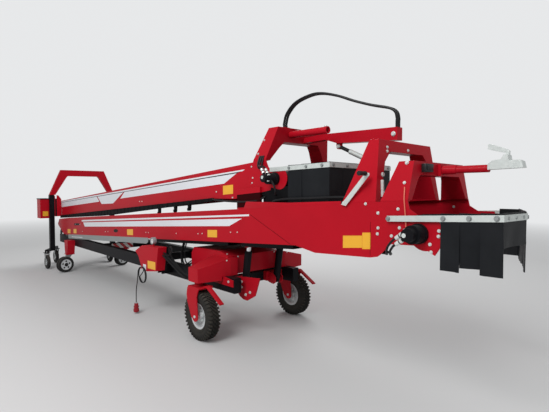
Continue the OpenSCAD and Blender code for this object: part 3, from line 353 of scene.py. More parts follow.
grip_black = moulded("grip_black", (0.014, 0.014, 0.015), 0.45)
plug_red = moulded("plug_red", (0.30, 0.012, 0.02), 0.35, slot="plug_plastic")
plug_grey = moulded("plug_grey", (0.42, 0.42, 0.42), 0.45, slot="plug_plastic")
plug_top = at(-1.600, -0.884, 0.166)
PLUG_LONG = 0.142
PLUG_RIBS = 12
plug_form = Shape().turned(plug_top, DOWN, [
    (0.016, 0.020), (0.019, 0.0265), (0.054, 0.0290), (0.058, 0.0365), (0.071, 0.0365), (0.075, 0.0325),
    (0.093, 0.0325), (0.097, 0.0380), (0.135, 0.0380), (PLUG_LONG, 0.0340)], steps=32)
for k in range(PLUG_RIBS):
    angle = 2 * math.pi * k / PLUG_RIBS
    around = Vector((math.cos(angle), math.sin(angle), 0))
    plug_form.turned(plug_top + around * 0.0375 + Vector((0, 0, -0.100)), DOWN, [
        (0, 0.001), (0.003, 0.0022), (0.030, 0.0022), (0.033, 0.001)], steps=8)
plug = new_piece("cord_plug", plug_form, plug_red, "chassis")
nut = Shape().turned(plug_top, DOWN, [(0, 0.012), (0.002, 0.0145), (0.017, 0.0165)], steps=10)
plug_nut = new_piece("cord_plug_nut", nut, plug_grey, "chassis")
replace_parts(plug, "supply_plug")


# Painted steel: the folded sheet parts are powder-coated in one bright red, the chassis beams and
# posts in black. The coat has a faint orange peel, and dust lies thinly on what faces up.
def dress(material, *names, bevel=0.0):
    """Gives CAD nodes their material, and rounds their sharp edges a little."""
    for name in names:
        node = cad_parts[name]
        node.data.materials.clear()
        node.data.materials.append(material)
        if bevel:
            node.modifiers.new("weld", "WELD").merge_threshold = 0.00005
            rounded(node, bevel, 38).harden_normals = True


RED_TONE = (0.43, 0.0050, 0.0150)
BLACK_TONE = (0.007, 0.007, 0.009)
GAUGE_GREY = (0.26, 0.26, 0.27)


def paint(name, colour, rough=0.36, coat=0.02, dust=0.06, beyond=(), slot="red_paint"):
    """A coat of paint. Each (axis, distance, tone) in beyond gives what lies further out its tone."""
    f = Finish(name, slot)
    broad = f.noise(1.7, 5)
    low = (f.part(2) * -1.2 + 1.0).math("MAXIMUM", 0.0) * 0.5
    film = (f.upward().math("MAXIMUM", 0.0) * 0.5 + low + 0.08).math(
        "MULTIPLY", f.noise(55, 6, Roughness=0.7), clamp=True) * dust
    tone = f.mixed(broad, shaded(colour, 0.84), shaded(colour, 1.12))
    for axis, distance, other in beyond:
        tone = f.mixed(f.part(axis).math("ABSOLUTE") > distance, tone, other)
    return f.surface(bump=f.noise(420, 1), depth=0.0005, strength=0.22, Coat_Weight=coat, Specular_IOR_Level=0.07,
        Base_Color=f.mixed(film, tone, (0.36, 0.31, 0.26)), Roughness=broad * 0.1 + (rough - 0.05) + film * 1.2)


CABINET_ROOF_Z = 1.5598
UPPER_HALF_W = 0.500
POST_INNER_Y = 0.650
CONSOLE_INNER_Y = 0.725
GAUGE_LOW_Z = 1.020
machine_red = paint("machine_red", RED_TONE)
dress(machine_red, "axle_beam", "lift_brackets", "tail_legs", "fork_near", "fork_far", "lower_sides",
    "lower_bed", "hinge_arms", "lift_beam", "head_cheeks", "middle_portal", "head_portal", "tow_tube", "upper_sides",
    "upper_portal", "upper_arm", "gantry_portal", bevel=0.002)
chassis_black = paint("chassis_black", BLACK_TONE, rough=0.42, dust=0.05)
dress(chassis_black, "chassis_frame", "lift_barrels", "hose_tray", "gantry_posts", "head_motor", "upper_motor",
    bevel=0.002)
for node, name, tone, rough, beyond in (
        ("gantry_cabinet", "cabinet_paint", RED_TONE, 0.36, [(2, CABINET_ROOF_Z, BLACK_TONE)]),
        ("upper_bed", "bed_paint", BLACK_TONE, 0.42, [(1, UPPER_HALF_W + 0.0005, RED_TONE)]),
        ("tail_guides", "guide_paint", RED_TONE, 0.36, [(1, POST_INNER_Y, BLACK_TONE)]),
        ("console", "console_paint", BLACK_TONE, 0.36, [(1, CONSOLE_INNER_Y, RED_TONE), (2, GAUGE_LOW_Z, GAUGE_GREY)])):
    dress(paint(name, tone, rough, beyond=beyond), node, bevel=0.002)


# Zinc: castor forks, drums, guards, coupling, crank and clamping strips are hot-dip galvanised,
# with spangles that catch the light a little differently.
def zinc(name, tone, rough=0.42, metal=0.75, even=0.82):
    """Zinc of a tone, whose darkest spangles have a share of it."""
    f = Finish(name, "galvanised")
    flake = f.part(0, f.add("ShaderNodeTexVoronoi", {"Vector": f.place, "Scale": 55}, "Color"))
    cloud = f.noise(9, 5)
    return f.surface(bump=cloud, depth=0.0006, strength=0.2, Metallic=metal,
        Base_Color=f.mixed(flake * 0.5 + cloud * 0.5, shaded(tone, even), tone),
        Roughness=flake * 0.12 + cloud * 0.1 + (rough - 0.1))


galvanised = zinc("galvanised", (0.36, 0.38, 0.38))
strip_zinc = zinc("strip_zinc", (0.60, 0.64, 0.62), rough=0.5, metal=0.2, even=0.88)
guard_zinc = zinc("guard_zinc", (0.33, 0.35, 0.35), rough=0.5, metal=0.4)
bright_zinc = zinc("bright_zinc", (0.68, 0.72, 0.70), rough=0.34, metal=0.4, even=0.93)
dress(galvanised, "tail_castor_near", "tail_castor_far", "lower_drums", "upper_drums",
    *("castor_fork_" + number for number in "1234"), bevel=0.0012)
dress(bright_zinc, "ball_coupling", bevel=0.0015)
dress(strip_zinc, "head_strip", "upper_strip", bevel=0.001)
dress(guard_zinc, "lower_guards", bevel=0.001)
chrome = Finish("rod_chrome")
dress(chrome.surface(Base_Color=(0.72, 0.73, 0.75), Metallic=1.0, Roughness=chrome.noise(40, 3) * 0.1 + 0.08),
    "lift_rods")


# Tyres: two air tyres with rows of small tread blocks, mounted on pressed steel rims. The casing is
# a turned form with a rib at the bead, and the outer blocks run down over both shoulders.
LUGS = 38
TREAD_R = 0.274
TYRE_R = 0.290


class Grower(Graph):
    """A Geometry Nodes tree that puts copies of a form on points, in the material it is given."""

    def __init__(self, name, **inputs):
        super().__init__(bpy.data.node_groups.new(name, "GeometryNodeTree"))
        for label, kind in inputs.items():
            self.tree.interface.new_socket(label, in_out="INPUT", socket_type="NodeSocket" + kind)
        self.tree.interface.new_socket("Made", in_out="OUTPUT", socket_type="NodeSocketGeometry")
        self.entry = self.tree.nodes.new("NodeGroupInput")

    def given(self, label):
        return Wire(self.tree, self.entry.outputs[label])

    def copies(self, **sockets):
        """The finished tree: its copies are made real and given their material."""
        made = self.add("GeometryNodeInstanceOnPoints", sockets)
        made = self.add("GeometryNodeRealizeInstances", {"Geometry": made})
        made = self.add("GeometryNodeSetMaterial", {"Geometry": made, "Material": self.given("Finish")})
        feed(self.tree, self.tree.nodes.new("NodeGroupOutput").inputs["Made"], made)
        return self.tree


def grown(tree, mesh, **values):
    """The plain mesh that a tree makes of a mesh. The inputs are set by their sockets' identifiers."""
    carrier = placed("carrier", mesh)
    maker = carrier.modifiers.new("maker", "NODES")
    maker.node_group = tree
    for item in tree.interface.items_tree:
        if item.in_out == "INPUT" and item.name in values:
            maker[item.identifier] = values[item.name]
    return settled(carrier)


ring = Grower("ring_of_copies", Form="Geometry", Count="Int", Middle="Vector", Finish="Material")
ring_points = ring.add("GeometryNodeMeshLine", {
    "Count": ring.given("Count"), "Start Location": ring.given("Middle"), "Offset": (0, 0, 0)})
ring_angle = ring.add("GeometryNodeInputIndex") / ring.given("Count") * (2 * math.pi)
copies_round = ring.copies(
    Points=ring_points, Instance=ring.given("Form"), Rotation=ring.add("ShaderNodeCombineXYZ", {"Y": ring_angle}))


def lug_form():
    """One pitch of the tread, at the top of a wheel whose middle is the zero."""
    step = math.pi / LUGS
    shoulder = [(0.041, TREAD_R - 0.002, TYRE_R), (0.058, TREAD_R - 0.008, TYRE_R - 0.002),
        (0.069, TREAD_R - 0.018, TYRE_R - 0.010), (0.0745, TREAD_R - 0.036, TREAD_R - 0.024)]
    blocks = [[(side * y, foot, top, side * 0.4 * y + (step if side > 0 else 0)) for y, foot, top in shoulder]
        for side in (-1, 1)]
    for middle, turned in ((-0.025, step), (0.0, 0.0), (0.025, step)):
        blocks.append([(middle + y, TREAD_R - 0.001, TYRE_R, turned + y * 5.5) for y in (-0.0115, 0.0115)])
    lugs = Shape()
    for stations in blocks:
        lugs.loft([[(reach * math.sin(middle + turned), y, reach * math.cos(middle + turned)) for reach, turned in (
            (foot - 0.004, -0.047), (top, -0.034), (top, 0.034), (foot - 0.004, 0.047))]
            for y, foot, top, middle in stations])
    return lugs.mesh("lug")


tyre_rubber = rubber("tyre_rubber", (0.012, 0.012, 0.011), (0.028, 0.026, 0.023), rough=0.72, dust=0.35, slot="tyre")
SIDEWALL = [(0.1565, 0.052), (0.158, 0.060), (0.166, 0.0645), (0.178, 0.0655), (0.181, 0.068), (0.188, 0.068),
    (0.191, 0.0665), (0.215, 0.0715), (0.236, 0.0715), (0.254, 0.067), (0.267, 0.057), (0.275, 0.040), (TREAD_R, 0.018)]
tyre_profile = [(-y, r) for r, y in SIDEWALL] + [(y, r) for r, y in reversed(SIDEWALL)]
for name in ("near", "far"):
    hub = middle_of("tyre_" + name)
    casing = Shape().turned(hub, (0, 1, 0), tyre_profile + tyre_profile[:1], steps=72, capped=False)
    casing.add(grown(copies_round, lug_form(), Count=LUGS, Middle=hub, Finish=tyre_rubber))
    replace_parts(new_piece("lugged_tyre_" + name, casing, tyre_rubber, "wheel_" + name), "tyre_" + name)

rim_paint = paint("rim_paint", (0.58, 0.60, 0.61), rough=0.3, coat=0.1, dust=0.2, slot="galvanised")
dress(rim_paint, "rim_near", "rim_far", bevel=0.001)
castor_rubber = rubber("castor_rubber", rough=0.65, dust=0.25, slot="tyre")
dress(castor_rubber, "tail_wheels_near", "tail_wheels_far", *("castor_wheel_" + number for number in "1234"))
POCKETS = 5


def wheel_caps(name, node, body, axis, radius, flush):
    """Pale moulded hub caps on both faces of a castor wheel; dark rubber discs between the spokes are painted shade for
    the pockets.
    """
    caps, dark, centre = Shape(), Shape(), middle_of(node)
    for out in (axis, -axis):
        caps.turned(centre, out, [(flush - 0.006, radius), (flush - 0.001, radius), (flush, radius * 0.95),
            (flush - 0.003, radius * 0.88), (flush - 0.002, radius * 0.42), (flush + 0.003, radius * 0.38),
            (flush + 0.003, radius * 0.2)], steps=36)
        side = out.cross(Vector((0, 0, 1))).normalized()
        for k in range(POCKETS):
            angle = 2 * math.pi * (k + 0.25) / POCKETS
            spoke = math.cos(angle) * side + math.sin(angle) * Vector((0, 0, 1))
            # Painted shade: a flat dark disc stands for each recessed pocket.
            dark.turned(centre + spoke * radius * 0.65 + out * (flush - 0.004), out, [
                (0, radius * 0.17), (0.0025, radius * 0.17)], steps=16)
    new_piece(name + "_caps", caps, rim_paint, body)
    new_piece(name + "_pocket_shade", dark, castor_rubber, body)


TAIL_AXIS = Vector((0.985, 0.174, 0)).normalized()
for name in ("near", "far"):
    wheel_caps("tail_" + name, "tail_wheels_" + name, "tail_wheels_" + name, TAIL_AXIS, 0.112, 0.056)
for number in "1234":
    wheel_caps("castor_" + number, "castor_wheel_" + number, "castor_roll_" + number, Vector((0, 1, 0)), 0.075, 0.033)
belt_rubber = rubber("belt_rubber", rough=0.6, dust=0.3)
dress(belt_rubber, "lower_belt", "upper_belt")


# Curtains: thick rubber sheets bolted behind the clamping strips of both hoods. Each hangs from a
# stiff upper rim in single lengths that overlap at the seams and have taken a slight wave.
curtain_rubber = rubber("curtain_rubber", (0.004, 0.0048, 0.0062), (0.011, 0.0125, 0.0155), rough=0.5, dust=0.06,
    sheen=0.16, slot="curtain_rubber")
CURTAIN_T = 0.0055
STEP_IN, SEAM_STEP = 0.0005, 0.0018
SEAM_OVERLAP = 0.012


def hanging_length(shape, start, end, top, foot, step_in, wave, lean, seed):
    """One length of curtain between two plan points, from its rim down to its foot, which may lean in."""
    along = (end - start).to_2d()
    out = Vector((along.y, -along.x)).normalized()
    across, down = 12, 16
    sections = []
    for j in range(down + 1):
        fall = j / down
        skins = []
        for skin in (0.0, CURTAIN_T):
            skins.append([])
            for i in range(across + 1):
                share = i / across
                ripple = math.sin(share * 5.2 + seed * 2.1) + 0.5 * math.sin(share * 11 + seed * 1.3 + fall * 2)
                push = wave * (fall ** 1.5) * ripple - step_in - skin - lean * fall * fall * (0.1 + 1.5 * share)
                skins[-1].append((*(start.to_2d() + along * share + out * push), top + (foot - top) * fall))
        sections.append(skins[0] + skins[1][::-1])
    shape.loft(sections, smooth=True)


def curtain(name, corners, low, feet, rim_height, body, node, wave):
    """A curtain along plan corners. For each side feet lists its lengths: what share of the side each
    takes, how far its foot hangs above the low line, and how far it leans in."""
    shape = Shape()
    number = 0
    for start, end, lengths in zip(corners, corners[1:], feet):
        done = 0.0
        for share, rise, *lean in lengths:
            a, b = start.lerp(end, done), start.lerp(end, min(1.0, done + share + SEAM_OVERLAP))
            hanging_length(shape, a, b, rim_height((a.x + b.x) / 2 - DRAWING_ZERO), low + rise,
                STEP_IN + (number % 2) * SEAM_STEP, wave, sum(lean), number + 1)
            done += share
            number += 1
    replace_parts(new_piece(name, shape, curtain_rubber, body), node)


def slope(x0, z0, degrees):
    """The height of a sloping edge that passes a point, as a function of the length."""
    return lambda x: z0 + (x - x0) * math.tan(math.radians(degrees))


head_rim = slope(2.270, 1.569, 2.75)
upper_rim = slope(0.830, 2.000, 1.2)
curtain("head_curtain_lengths",
    [at(2.697, -0.5695, 0), at(3.1045, -0.5695, 0), at(3.1335, -0.2165, 0), at(2.856, 0.5695, 0), at(2.697, 0.5695, 0)],
    1.190, [[(0.315, 0), (0.34, 0.030, 0.050), (0.345, 0.004)], [(1.0, 0.195)],
        [(0.25, 0), (0.25, 0.01), (0.25, 0.003), (0.25, 0)], [(1.0, 0)]], head_rim, LOWER, "head_curtain", wave=0.005)
curtain("upper_curtain_lengths",
    [at(1.096, -0.4995, 0), at(1.6285, -0.4995, 0), at(1.6285, 0.4995, 0), at(1.096, 0.4995, 0)],
    1.527, [[(0.34, 0), (0.33, 0.008), (0.33, 0.016)],
        [(0.2, 0.024), (0.2, 0.018), (0.2, 0.024), (0.2, 0.02), (0.2, 0.024)],
        [(0.33, 0.016), (0.33, 0.01), (0.34, 0)]], upper_rim, UPPER, "upper_curtain", wave=0.003)


# Arched cables: two thick rubber-covered cables over the telescope's front end, clamped at the
# portal and at the arm, so both ends are held.
cable_rubber = rubber("cable_rubber", (0.007, 0.007, 0.008), (0.013, 0.013, 0.014), rough=0.35)
CABLE_R = 0.013
arch = [at(x, y, z) for x, y, z in (
    (0.800, -0.250, 2.4393), (0.800, -0.250, 2.455), (0.800, -0.250, 2.480), (0.832, -0.242, 2.583),
    (0.934, -0.214, 2.690), (1.100, -0.170, 2.747), (1.232, -0.135, 2.749), (1.398, -0.091, 2.704),
    (1.557, -0.049, 2.637), (1.732, -0.002, 2.575), (1.898, 0.042, 2.529), (1.960, 0.059, 2.488),
    (1.976, 0.065, 2.430), (1.976, 0.065, 2.400), (1.976, 0.065, 2.3424))]
arched = Shape()
for shift in (-0.018, 0.018):
    arched.add(tube_mesh([p + Vector((0, shift, 0)) for p in smooth_line(arch, 6)], CABLE_R, 16))
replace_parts(new_piece("arched_pair", arched, cable_rubber, UPPER), "arch_cables")


# Warning panel: a plain plate with slanting red and white bands.
panel = Finish("striped_panel")
band = ((panel.part(1) + panel.part(2)) * 7.0).math("FRACT") > 0.5
dress(panel.surface(Base_Color=panel.mixed(band, (0.72, 0.72, 0.70), (0.5, 0.012, 0.016)), Roughness=0.35),
    "warning_panel")


# Stripes and stickers: self-adhesive film on the side plates. The stripes are white, the stickers
# are blank yellow, and each film is cut to its outline and lies on the paint.
FILM = 0.0006
PLATE_Y = {LOWER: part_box("lower_sides")[0].y, UPPER: -0.500, "chassis": -0.850}


def film_piece(name, outlines, material, body, out=0.0):
    """Flat films on a body's near plate, or so far out from it; each outline is a list of (x, z)."""
    shape = Shape()
    for outline in outlines:
        shape.side_plate(outline, PLATE_Y[body] - out - FILM, PLATE_Y[body] - out)
    return new_piece(name, shape, material, body)


def slanted(x0, x1, z0, z1, slope=0.0638):
    """A sticker that follows its plate's slope, inside the given lengths and heights."""
    rise = (x1 - x0) * slope
    return [(x0, z0), (x1, z0 + rise), (x1, z1), (x0, z1 - rise)]


def vinyl(name, colour, rough=0.32, sheen=0.3):
    """Self-adhesive film with a little grime on it."""
    f = Finish(name)
    grime = f.noise(35, 6, Roughness=0.65)
    tone = f.mixed(f.noise(3, 4), shaded(colour, 0.94), colour)
    return f.surface(Base_Color=f.mixed(grime * 0.08, tone, shaded(colour, 0.4)), Specular_IOR_Level=sheen,
        Roughness=grime * 0.12 + (rough - 0.05))


white_vinyl = vinyl("white_vinyl", (0.74, 0.75, 0.79))
yellow_vinyl = vinyl("yellow_vinyl", (0.82, 0.42, 0.03))
# seam_shade is painted shade: a dark red film laid on red steel where it lies in a fold or in a recess, so that it
# reads as shaded red.
seam_shade = vinyl("seam_shade", (0.030, 0.0015, 0.0025), 0.6, 0.03)
film_piece("lower_stripes", [
    [(-4.938, 1.150), (-4.921, 1.120), (0.543, 1.476), (0.543, 1.496)],
    [(-4.842, 1.106), (-4.755, 1.025), (0.180, 1.345), (0.372, 1.425), (0.419, 1.443)]], white_vinyl, LOWER)
film_piece("upper_stripes", [
    [(-6.652, 1.501), (-6.638, 1.475), (-0.755, 1.894), (0.370, 1.974), (0.410, 1.993), (-0.755, 1.915)],
    [(-6.598, 1.470), (-6.493, 1.372), (-4.060, 1.547), (-4.190, 1.640)],
    [(-2.880, 1.733), (-3.060, 1.619), (0.012, 1.838), (0.257, 1.953)],
    [(-4.150, 1.642), (-3.942, 1.504), (-3.386, 1.528), (-2.935, 1.727)]], white_vinyl, UPPER)
film_piece("upper_gap", [
    [(-6.634, 1.4755), (-6.600, 1.4670), (-0.755, 1.8790), (0.262, 1.9520), (0.330, 1.9709), (-0.755, 1.8938)]],
    grip_black, UPPER, out=-FILM / 2)
film_piece("lower_stickers", [
    slanted(-5.890, -5.690, 0.805, 0.910), slanted(-5.474, -5.280, 0.835, 0.940), slanted(-2.674, -2.443, 1.018, 1.128),
    slanted(-0.270, -0.067, 1.180, 1.282), [(1.825, 1.259), (2.0225, 1.280), (2.0225, 1.381), (1.825, 1.365)],
    [(2.0245, 1.269), (2.105, 1.277), (2.105, 1.412), (2.0245, 1.406)]], yellow_vinyl, LOWER)
# A thin dark red line of painted shade along the near plate's slanting fold, and a thin upright dark line at the plate
# seam by the head.
film_piece("fold_shade_and_seam", [
    [(0.558, 1.493), (1.181, 1.226), (1.182, 1.230), (0.559, 1.497)],
    [(2.101, 1.499), (2.101, 1.223), (2.104, 1.223), (2.104, 1.499)]], seam_shade, LOWER)
# Painted shade: a dark red film over the red runner, which lies in the recess between the upper and lower side plates.
film_piece("runner_shade", [[(0.300, 1.560), (0.700, 1.585), (0.700, 1.737), (0.300, 1.706)]], seam_shade, UPPER,
    out=0.028)
film_piece("upper_stickers", [slanted(-0.009, 0.189, 1.706, 1.824)], yellow_vinyl, UPPER)
film_piece("console_sticker", [slanted(-1.296, -1.070, 0.690, 0.800, 0.02)], yellow_vinyl, "chassis")
film_piece("console_label", [slanted(-1.440, -1.346, 0.660, 0.731, 0.02)], white_vinyl, "chassis")
film_piece("guard_label", [slanted(-5.600, -4.900, 0.742, 0.800)], white_vinyl, LOWER, out=0.003)
HAND_HOLE = [(-3.152 + 0.098 * math.cos(a), 1.054 + 0.030 * math.sin(a) + 0.0063 * math.cos(a))
    for a in (2 * math.pi * k / 20 for k in range(20))]
film_piece("hand_hole_cover", [HAND_HOLE, slanted(-5.413, -5.085, 1.011, 1.075, 0.06)], chassis_black, LOWER)
new_piece("cabinet_sticker", Shape().box((-6.5596, -0.883, 1.170), (-6.5588, -0.772, 1.280)), yellow_vinyl, "gantry")


# Bolts: bright zinc hexagon heads with their washers, through the strips, cheeks, saddle plates and
# brackets. Each head is turned as it happened to be when it was tight.
heads = Grower("bolt_heads", Places="Geometry", Corners="Float", Head="Float", Washer="Float", Seed="Int",
    Finish="Material")
high = heads.given("Head")
joined = heads.tree.nodes.new("GeometryNodeJoinGeometry")
for corners, radius, depth, centre in (
        (6, heads.given("Corners") * 0.5, high, high * 0.75), (14, heads.given("Washer"), high * 0.3, high * 0.15)):
    disc = heads.add("GeometryNodeMeshCylinder", {"Vertices": corners, "Radius": radius, "Depth": depth}, "Mesh")
    lift = heads.add("ShaderNodeCombineXYZ", {"Z": centre})
    feed(heads.tree, joined.inputs["Geometry"],
        heads.add("GeometryNodeTransform", {"Geometry": disc, "Translation": lift}))
facing, size = (heads.add("GeometryNodeInputNamedAttribute", {"Name": name}, "Attribute", data_type=kind)
    for name, kind in (("facing", "FLOAT_VECTOR"), ("size", "FLOAT")))
aimed = heads.add("FunctionNodeAlignRotationToVector", {"Vector": facing}, axis="Z")
chance = heads.add("FunctionNodeRandomValue", {3: math.pi / 3, "Seed": heads.given("Seed")}, 1, data_type="FLOAT")
own_turn = heads.add("FunctionNodeAxisAngleToRotation", {"Axis": (0, 0, 1), "Angle": chance})
both_turns = heads.add(
    "FunctionNodeRotateRotation", {"Rotation": aimed, "Rotate By": own_turn}, rotation_space="LOCAL")
bolt_heads = heads.copies(
    Points=heads.given("Places"), Instance=Wire(heads.tree, joined.outputs[0]), Rotation=both_turns, Scale=size)


def bolts(name, body, places, seed, finish=bright_zinc):
    """Bolt heads as one piece on a body; each place is (x, y, z, facing, size)."""
    mesh = bpy.data.meshes.new("places")
    mesh.from_pydata([at(*place[:3]) for place in places], [], [])
    mesh.attributes.new("facing", "FLOAT_VECTOR", "POINT").data.foreach_set(
        "vector", [c for place in places for c in place[3]])
    mesh.attributes.new("size", "FLOAT", "POINT").data.foreach_set("value", [place[4] for place in places])
    return new_piece(
        name, grown(bolt_heads, mesh, Corners=0.026, Head=0.009, Washer=0.0165, Seed=seed, Finish=finish), finish, body)


NEAR, FAR, AHEAD, UP = (0, -1, 0), (0, 1, 0), (1, 0, 0), (0, 0, 1)


def both_hands(places):
    """The same places on the far side too, facing the other way."""
    return places + [(x, -y, z, (f[0], -f[1], f[2]), size) for x, y, z, f, size in places]


def side_bolts(y, size, spots):
    """Bolts through both side plates, at (x, z)."""
    return both_hands([(x, -y, z, NEAR, size) for x, z in spots])


FRONT_SLANT = Vector((0.36, -0.03, 0)).normalized()
HOOD_SLANT = Vector((0.792, 0.280, 0)).normalized()
POST_LEAN = (0, -0.943, 0.331)
STRIP_MIDDLE = 0.034
strip_bolts = side_bolts(0.576, 1.15, [(x, head_rim(x) - STRIP_MIDDLE) for x in (2.280, 2.717)])
strip_bolts += [(x, -0.576, head_rim(x) - STRIP_MIDDLE, NEAR, 1.15) for x in (2.894, 3.067)]
strip_bolts += [(3.105 + 0.030 * k, -0.576 + 0.360 * k, head_rim(3.12) - STRIP_MIDDLE, FRONT_SLANT, 0.85)
    for k in (0.18, 0.50, 0.82)]
strip_bolts += [(3.140 - 0.280 * k, -0.216 + 0.792 * k, head_rim(3.0) - STRIP_MIDDLE, HOOD_SLANT, 1.0)
    for k in (0.08, 0.36, 0.64, 0.92)]
bolts("head_strip_bolts", LOWER, strip_bolts, 2, galvanised)
head_bolts = side_bolts(0.550, 0.8, [
    (2.175, 1.455), (2.170, 1.407), (2.365, 1.468), (2.297, 1.400), (2.351, 1.612), (2.173, 1.574),
    (2.054, 1.645), (2.677, 1.466), (2.674, 1.427), (2.611, 1.364), (2.620, 1.308)])
head_bolts += both_hands([(2.375, -0.501, 1.814, POST_LEAN, 0.8), (2.363, -0.445, 1.970, POST_LEAN, 1.0)])
head_bolts += side_bolts(0.550, 0.5, [
    (-5.332, 1.040), (-5.041, 1.053), (-4.892, 0.918), (-3.631, 1.004), (-3.511, 1.012), (-1.970, 1.112),
    (-1.885, 1.118), (-1.042, 1.167), (-0.487, 1.206), (-0.390, 1.214), (0.207, 1.275), (0.333, 1.285)])
head_bolts += [(2.130, -0.424, 1.887, AHEAD, 1.2), (2.110, -0.327, 2.120, AHEAD, 0.8),
    (2.113, -0.332, 2.086, AHEAD, 0.8), (2.111, 0.010, 2.113, AHEAD, 0.8), (2.298, 0.542, 1.600, NEAR, 0.8)]
bolts("head_bolts", LOWER, head_bolts, 3)
strip_bolts = side_bolts(0.506, 1.0, [(x, upper_rim(x) - 0.028) for x in (1.116, 1.3465, 1.5465)])
strip_bolts += [(1.635, y, upper_rim(1.635) - 0.028, AHEAD, 1.0) for y in (-0.4535, -0.249, -0.05, 0.15, 0.35, 0.455)]
bolts("upper_strip_bolts", UPPER, strip_bolts, 4, galvanised)
upper_bolts = side_bolts(0.500, 0.6, [
    (0.529, 2.017), (0.548, 1.894), (0.537, 1.839), (-2.290, 1.583), (-2.203, 1.585), (-0.145, 1.741), (0.182, 1.674)])
upper_bolts += both_hands([(0.621, -0.482, 2.151, POST_LEAN, 0.7), (0.672, -0.439, 2.299, POST_LEAN, 0.7)])
upper_bolts += [(1.294, 0.050, 2.218, NEAR, 1.4), (1.959, 0.020, 2.280, NEAR, 1.4), (1.330, -0.200, 2.396, UP, 1.0)]
bolts("upper_bolts", UPPER, upper_bolts, 5)
chassis_bolts = side_bolts(0.542, 0.9, [
    (-0.270, 0.705), (-0.215, 0.705), (-0.270, 0.665), (-0.140, 0.672), (-0.020, 0.690), (0.150, 0.690)])
chassis_bolts += [(x, -0.346, z, NEAR, 1.1) for x, z in (
    (0.150, 0.660), (0.150, 0.600), (0.230, 0.520), (0.310, 0.560))]
chassis_bolts += both_hands([
    (-0.042, -0.418, 0.978, UP, 0.7), (0.020, -0.302, 0.946, AHEAD, 0.6), (0.060, -0.501, 0.923, AHEAD, 0.6)])
bolts("chassis_bolts", "chassis", chassis_bolts, 7)
HUB_Y = 0.760
NUT_RING_R = 0.060
for name, side in (("near", -1), ("far", 1)):
    nuts = [(WHEEL_X + NUT_RING_R * math.cos(a), side * HUB_Y + reach, TYRE_R + NUT_RING_R * math.sin(a), way, 1.0)
        for reach, way in ((-0.0175, NEAR), (0.001, FAR)) for a in (2 * math.pi * k / 5 + 0.3 for k in range(5))]
    bolts("hub_nuts_" + name, "wheel_" + name, nuts, 11)


# Motor fittings and hoses: pressed steel couplings on the ports of both oil motors, and black
# hoses that lead into the frames.
hose_rubber = rubber("hose_rubber", (0.008, 0.008, 0.009), (0.015, 0.015, 0.016), rough=0.45)


def hose_set(name, routes, radius, body, material=hose_rubber):
    """Round hoses as one piece; each route lists the points that the hose passes."""
    shape = Shape()
    for route in routes:
        shape.add(tube_mesh(smooth_line([at(*p) for p in route], 5), radius))
    return new_piece(name, shape, material, body)


FITTING = ((6, [(0, 0.019), (0.020, 0.019)]),  # (sides, profile) of its nut, then of its sleeve and collar
    (18, [(0.018, 0.0125), (0.030, 0.0125), (0.032, 0.0165), (0.062, 0.0165), (0.065, 0.013)]))
for name, body, forward, size, ports, routes in (
        ("head", LOWER, (-0.819, 0, -0.574), 1.0, [(2.4700, -0.690, 1.3945), (2.4700, -0.690, 1.4385)], [
            [(2.424, -0.690, 1.362), (2.396, -0.690, 1.342), (2.362, -0.676, 1.300), (2.330, -0.620, 1.268),
                (2.290, -0.545, 1.262), (2.220, -0.490, 1.262), (2.050, -0.480, 1.262)],
            [(2.424, -0.690, 1.406), (2.390, -0.690, 1.383), (2.345, -0.684, 1.330), (2.306, -0.636, 1.276),
                (2.262, -0.556, 1.256), (2.190, -0.500, 1.250), (2.050, -0.500, 1.250)]]),
        ("upper", UPPER, (-0.574, 0, 0.819), 0.9, [(0.8865, -0.640, 1.9305), (0.8865, -0.585, 1.9305)], [
            [(0.857, -0.640, 1.972), (0.838, -0.638, 1.996), (0.800, -0.620, 2.012), (0.742, -0.580, 2.008),
                (0.706, -0.540, 2.028), (0.698, -0.520, 2.070), (0.700, -0.500, 2.125)],
            [(0.857, -0.585, 1.972), (0.838, -0.583, 1.994), (0.805, -0.570, 2.004), (0.755, -0.545, 2.006),
                (0.728, -0.525, 2.030), (0.722, -0.512, 2.070), (0.724, -0.496, 2.125)],
            [(0.690, -0.505, 1.990), (0.676, -0.530, 2.000), (0.672, -0.530, 2.050), (0.676, -0.505, 2.125)],
            [(0.950, -0.600, 1.862), (0.990, -0.612, 1.832), (1.020, -0.610, 1.782), (1.010, -0.590, 1.735),
                (0.960, -0.550, 1.715), (0.900, -0.490, 1.712)]])):
    shape = Shape()
    for port in ports:
        for steps, profile in FITTING:
            shape.turned(at(*port), forward, [(along * size, radius * size) for along, radius in profile], steps)
    new_piece(name + "_fittings", shape, bright_zinc, body, round_off=0.0008)
    hose_set(name + "_hoses", routes, 0.0095, body)


